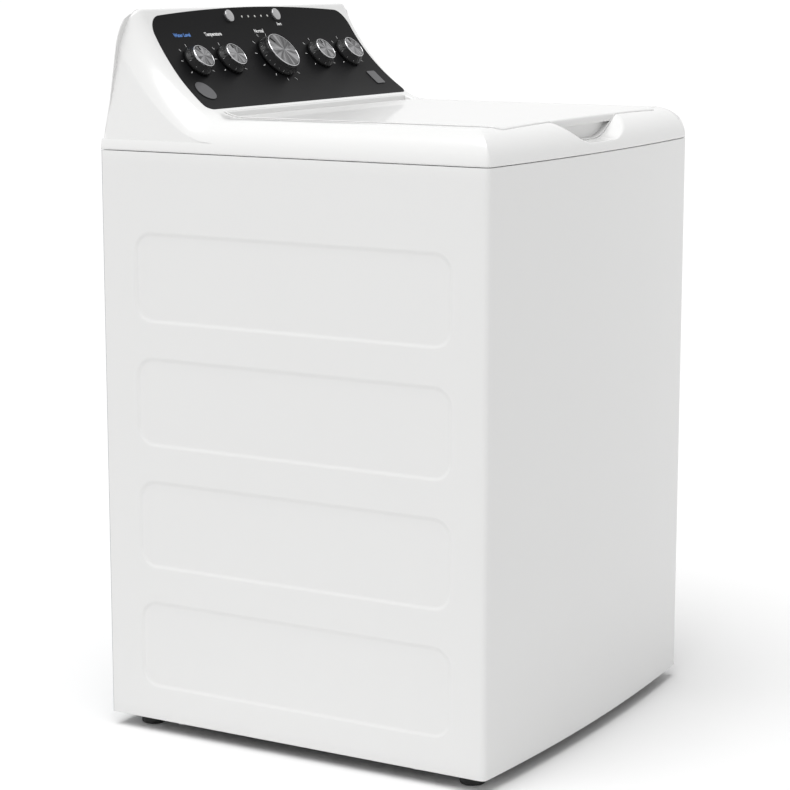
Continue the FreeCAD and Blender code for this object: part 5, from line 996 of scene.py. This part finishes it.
for part in frame["record"]["subparts"]:
    node = frame["nodes"].get(part["node"])
    finish = FINISHES.get(part["material_slot"])
    if node is not None and finish is not None:
        node.data.materials.clear()
        node.data.materials.append(finish)


# ---- Suspension springs -------------------------------------------------------------------------
# Four coil springs of bright steel wire, 35 mm across and 7 turns tall. They stand on the caps of the rods,
# which hang from the cabinet, and carry the tub.

SPRING_RADIUS, WIRE_RADIUS, SPRING_TURNS = 15.0, 2.3, 7
SPRING_LOW, SPRING_HIGH = 232.6, 327.4
SPRING_SPOTS = [(x, y) for x in (-293.0, 293.0) for y in (-277.0, 288.0)]
SPRING_MIDDLE = (SPRING_LOW + SPRING_HIGH) / 2


def spring(x, y):
    """Grid of wire rings carried up a helix round an upright axis, each end closed by a ring of no size."""
    up = np.linspace(0, 1, SPRING_TURNS * 32 + 1)
    up = np.concatenate([[0, 0], up, [1, 1]])
    size = WIRE_RADIUS * np.concatenate([[0, 0.6], np.ones(len(up) - 4), [0.6, 0]])[:, None]
    turn = (2 * math.pi * SPRING_TURNS * up)[:, None]
    ring = np.linspace(0, 2 * math.pi, 12, endpoint=False)[None]
    reach = SPRING_RADIUS + size * np.cos(ring)
    z = SPRING_LOW + (SPRING_HIGH - SPRING_LOW) * up[:, None] + size * np.sin(ring)
    return np.stack([x + reach * np.cos(turn), y + reach * np.sin(turn), z], -1)


coils = [(spring(x, y), (x, y, SPRING_MIDDLE)) for x, y in SPRING_SPOTS]
springs = sheet("suspension_coils", coils, wrap=True, sharp=60)
springs.data.materials.append(FINISHES["steel"])
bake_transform(springs)
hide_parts("suspension_springs")


# ---- Floor, light and camera --------------------------------------------------------------------
# A pale floor that keeps the shadow, a surround that is seen as white and lights the machine more
# dimly, one broad lamp overhead and slightly to the left, and the camera.

FLOOR_REACH, SURROUND_LIGHT = 150000.0, 0.42
corners = FLOOR_REACH * np.array([(-1, -1, 0), (1, -1, 0), (1, 1, 0), (-1, 1, 0)])
floor = placed("floor", in_metres("floor", corners, [(0, 1, 2, 3)]))
floor_look = bpy.data.materials.new("pale floor")
floor_look.use_nodes = True
matt = floor_look.node_tree.nodes["Principled BSDF"].inputs
matt["Base Color"].default_value = (0.91, 0.91, 0.91, 1)
matt["Roughness"].default_value = 0.9
floor.data.materials.append(floor_look)

world = bpy.data.worlds.new("surround")
bpy.context.scene.world = world
world.use_nodes = True
tree = world.node_tree
background = tree.nodes["Background"]
path = tree.nodes.new("ShaderNodeLightPath")
seen = maths(tree, "MAXIMUM", path.outputs["Is Camera Ray"], path.outputs["Is Glossy Ray"])
seen = maths(tree, "MAXIMUM", seen, path.outputs["Is Transmission Ray"])
strength = add(tree, "ShaderNodeMapRange", To_Min=SURROUND_LIGHT, To_Max=1.0)
tree.links.new(seen, strength.inputs["Value"])
tree.links.new(strength.outputs["Result"], background.inputs["Strength"])
background.inputs["Color"].default_value = (1, 1, 1, 1)

lamp = bpy.data.lights.new("overhead", "SUN")
lamp.energy, lamp.angle = 2.35, math.radians(50)
placed("overhead", lamp).rotation_euler = Vector((-0.30, 0.02, 0.94)).to_track_quat("Z", "Y").to_euler()

camera_data = bpy.data.cameras.new("camera")
camera_data.lens, camera_data.sensor_width = 108.66, 36.0
camera = placed("camera", camera_data)
heading, pitch = math.radians(59.87), math.radians(-10.32)
forward = Vector((math.sin(heading) * math.cos(pitch), math.cos(heading) * math.cos(pitch), math.sin(pitch)))
camera.location = (-3.2548, -1.8677, 1.1900)
camera.rotation_euler = forward.to_track_quat("-Z", "Y").to_euler()
bpy.context.scene.camera = camera
bpy.context.scene.view_settings.view_transform = "Standard"
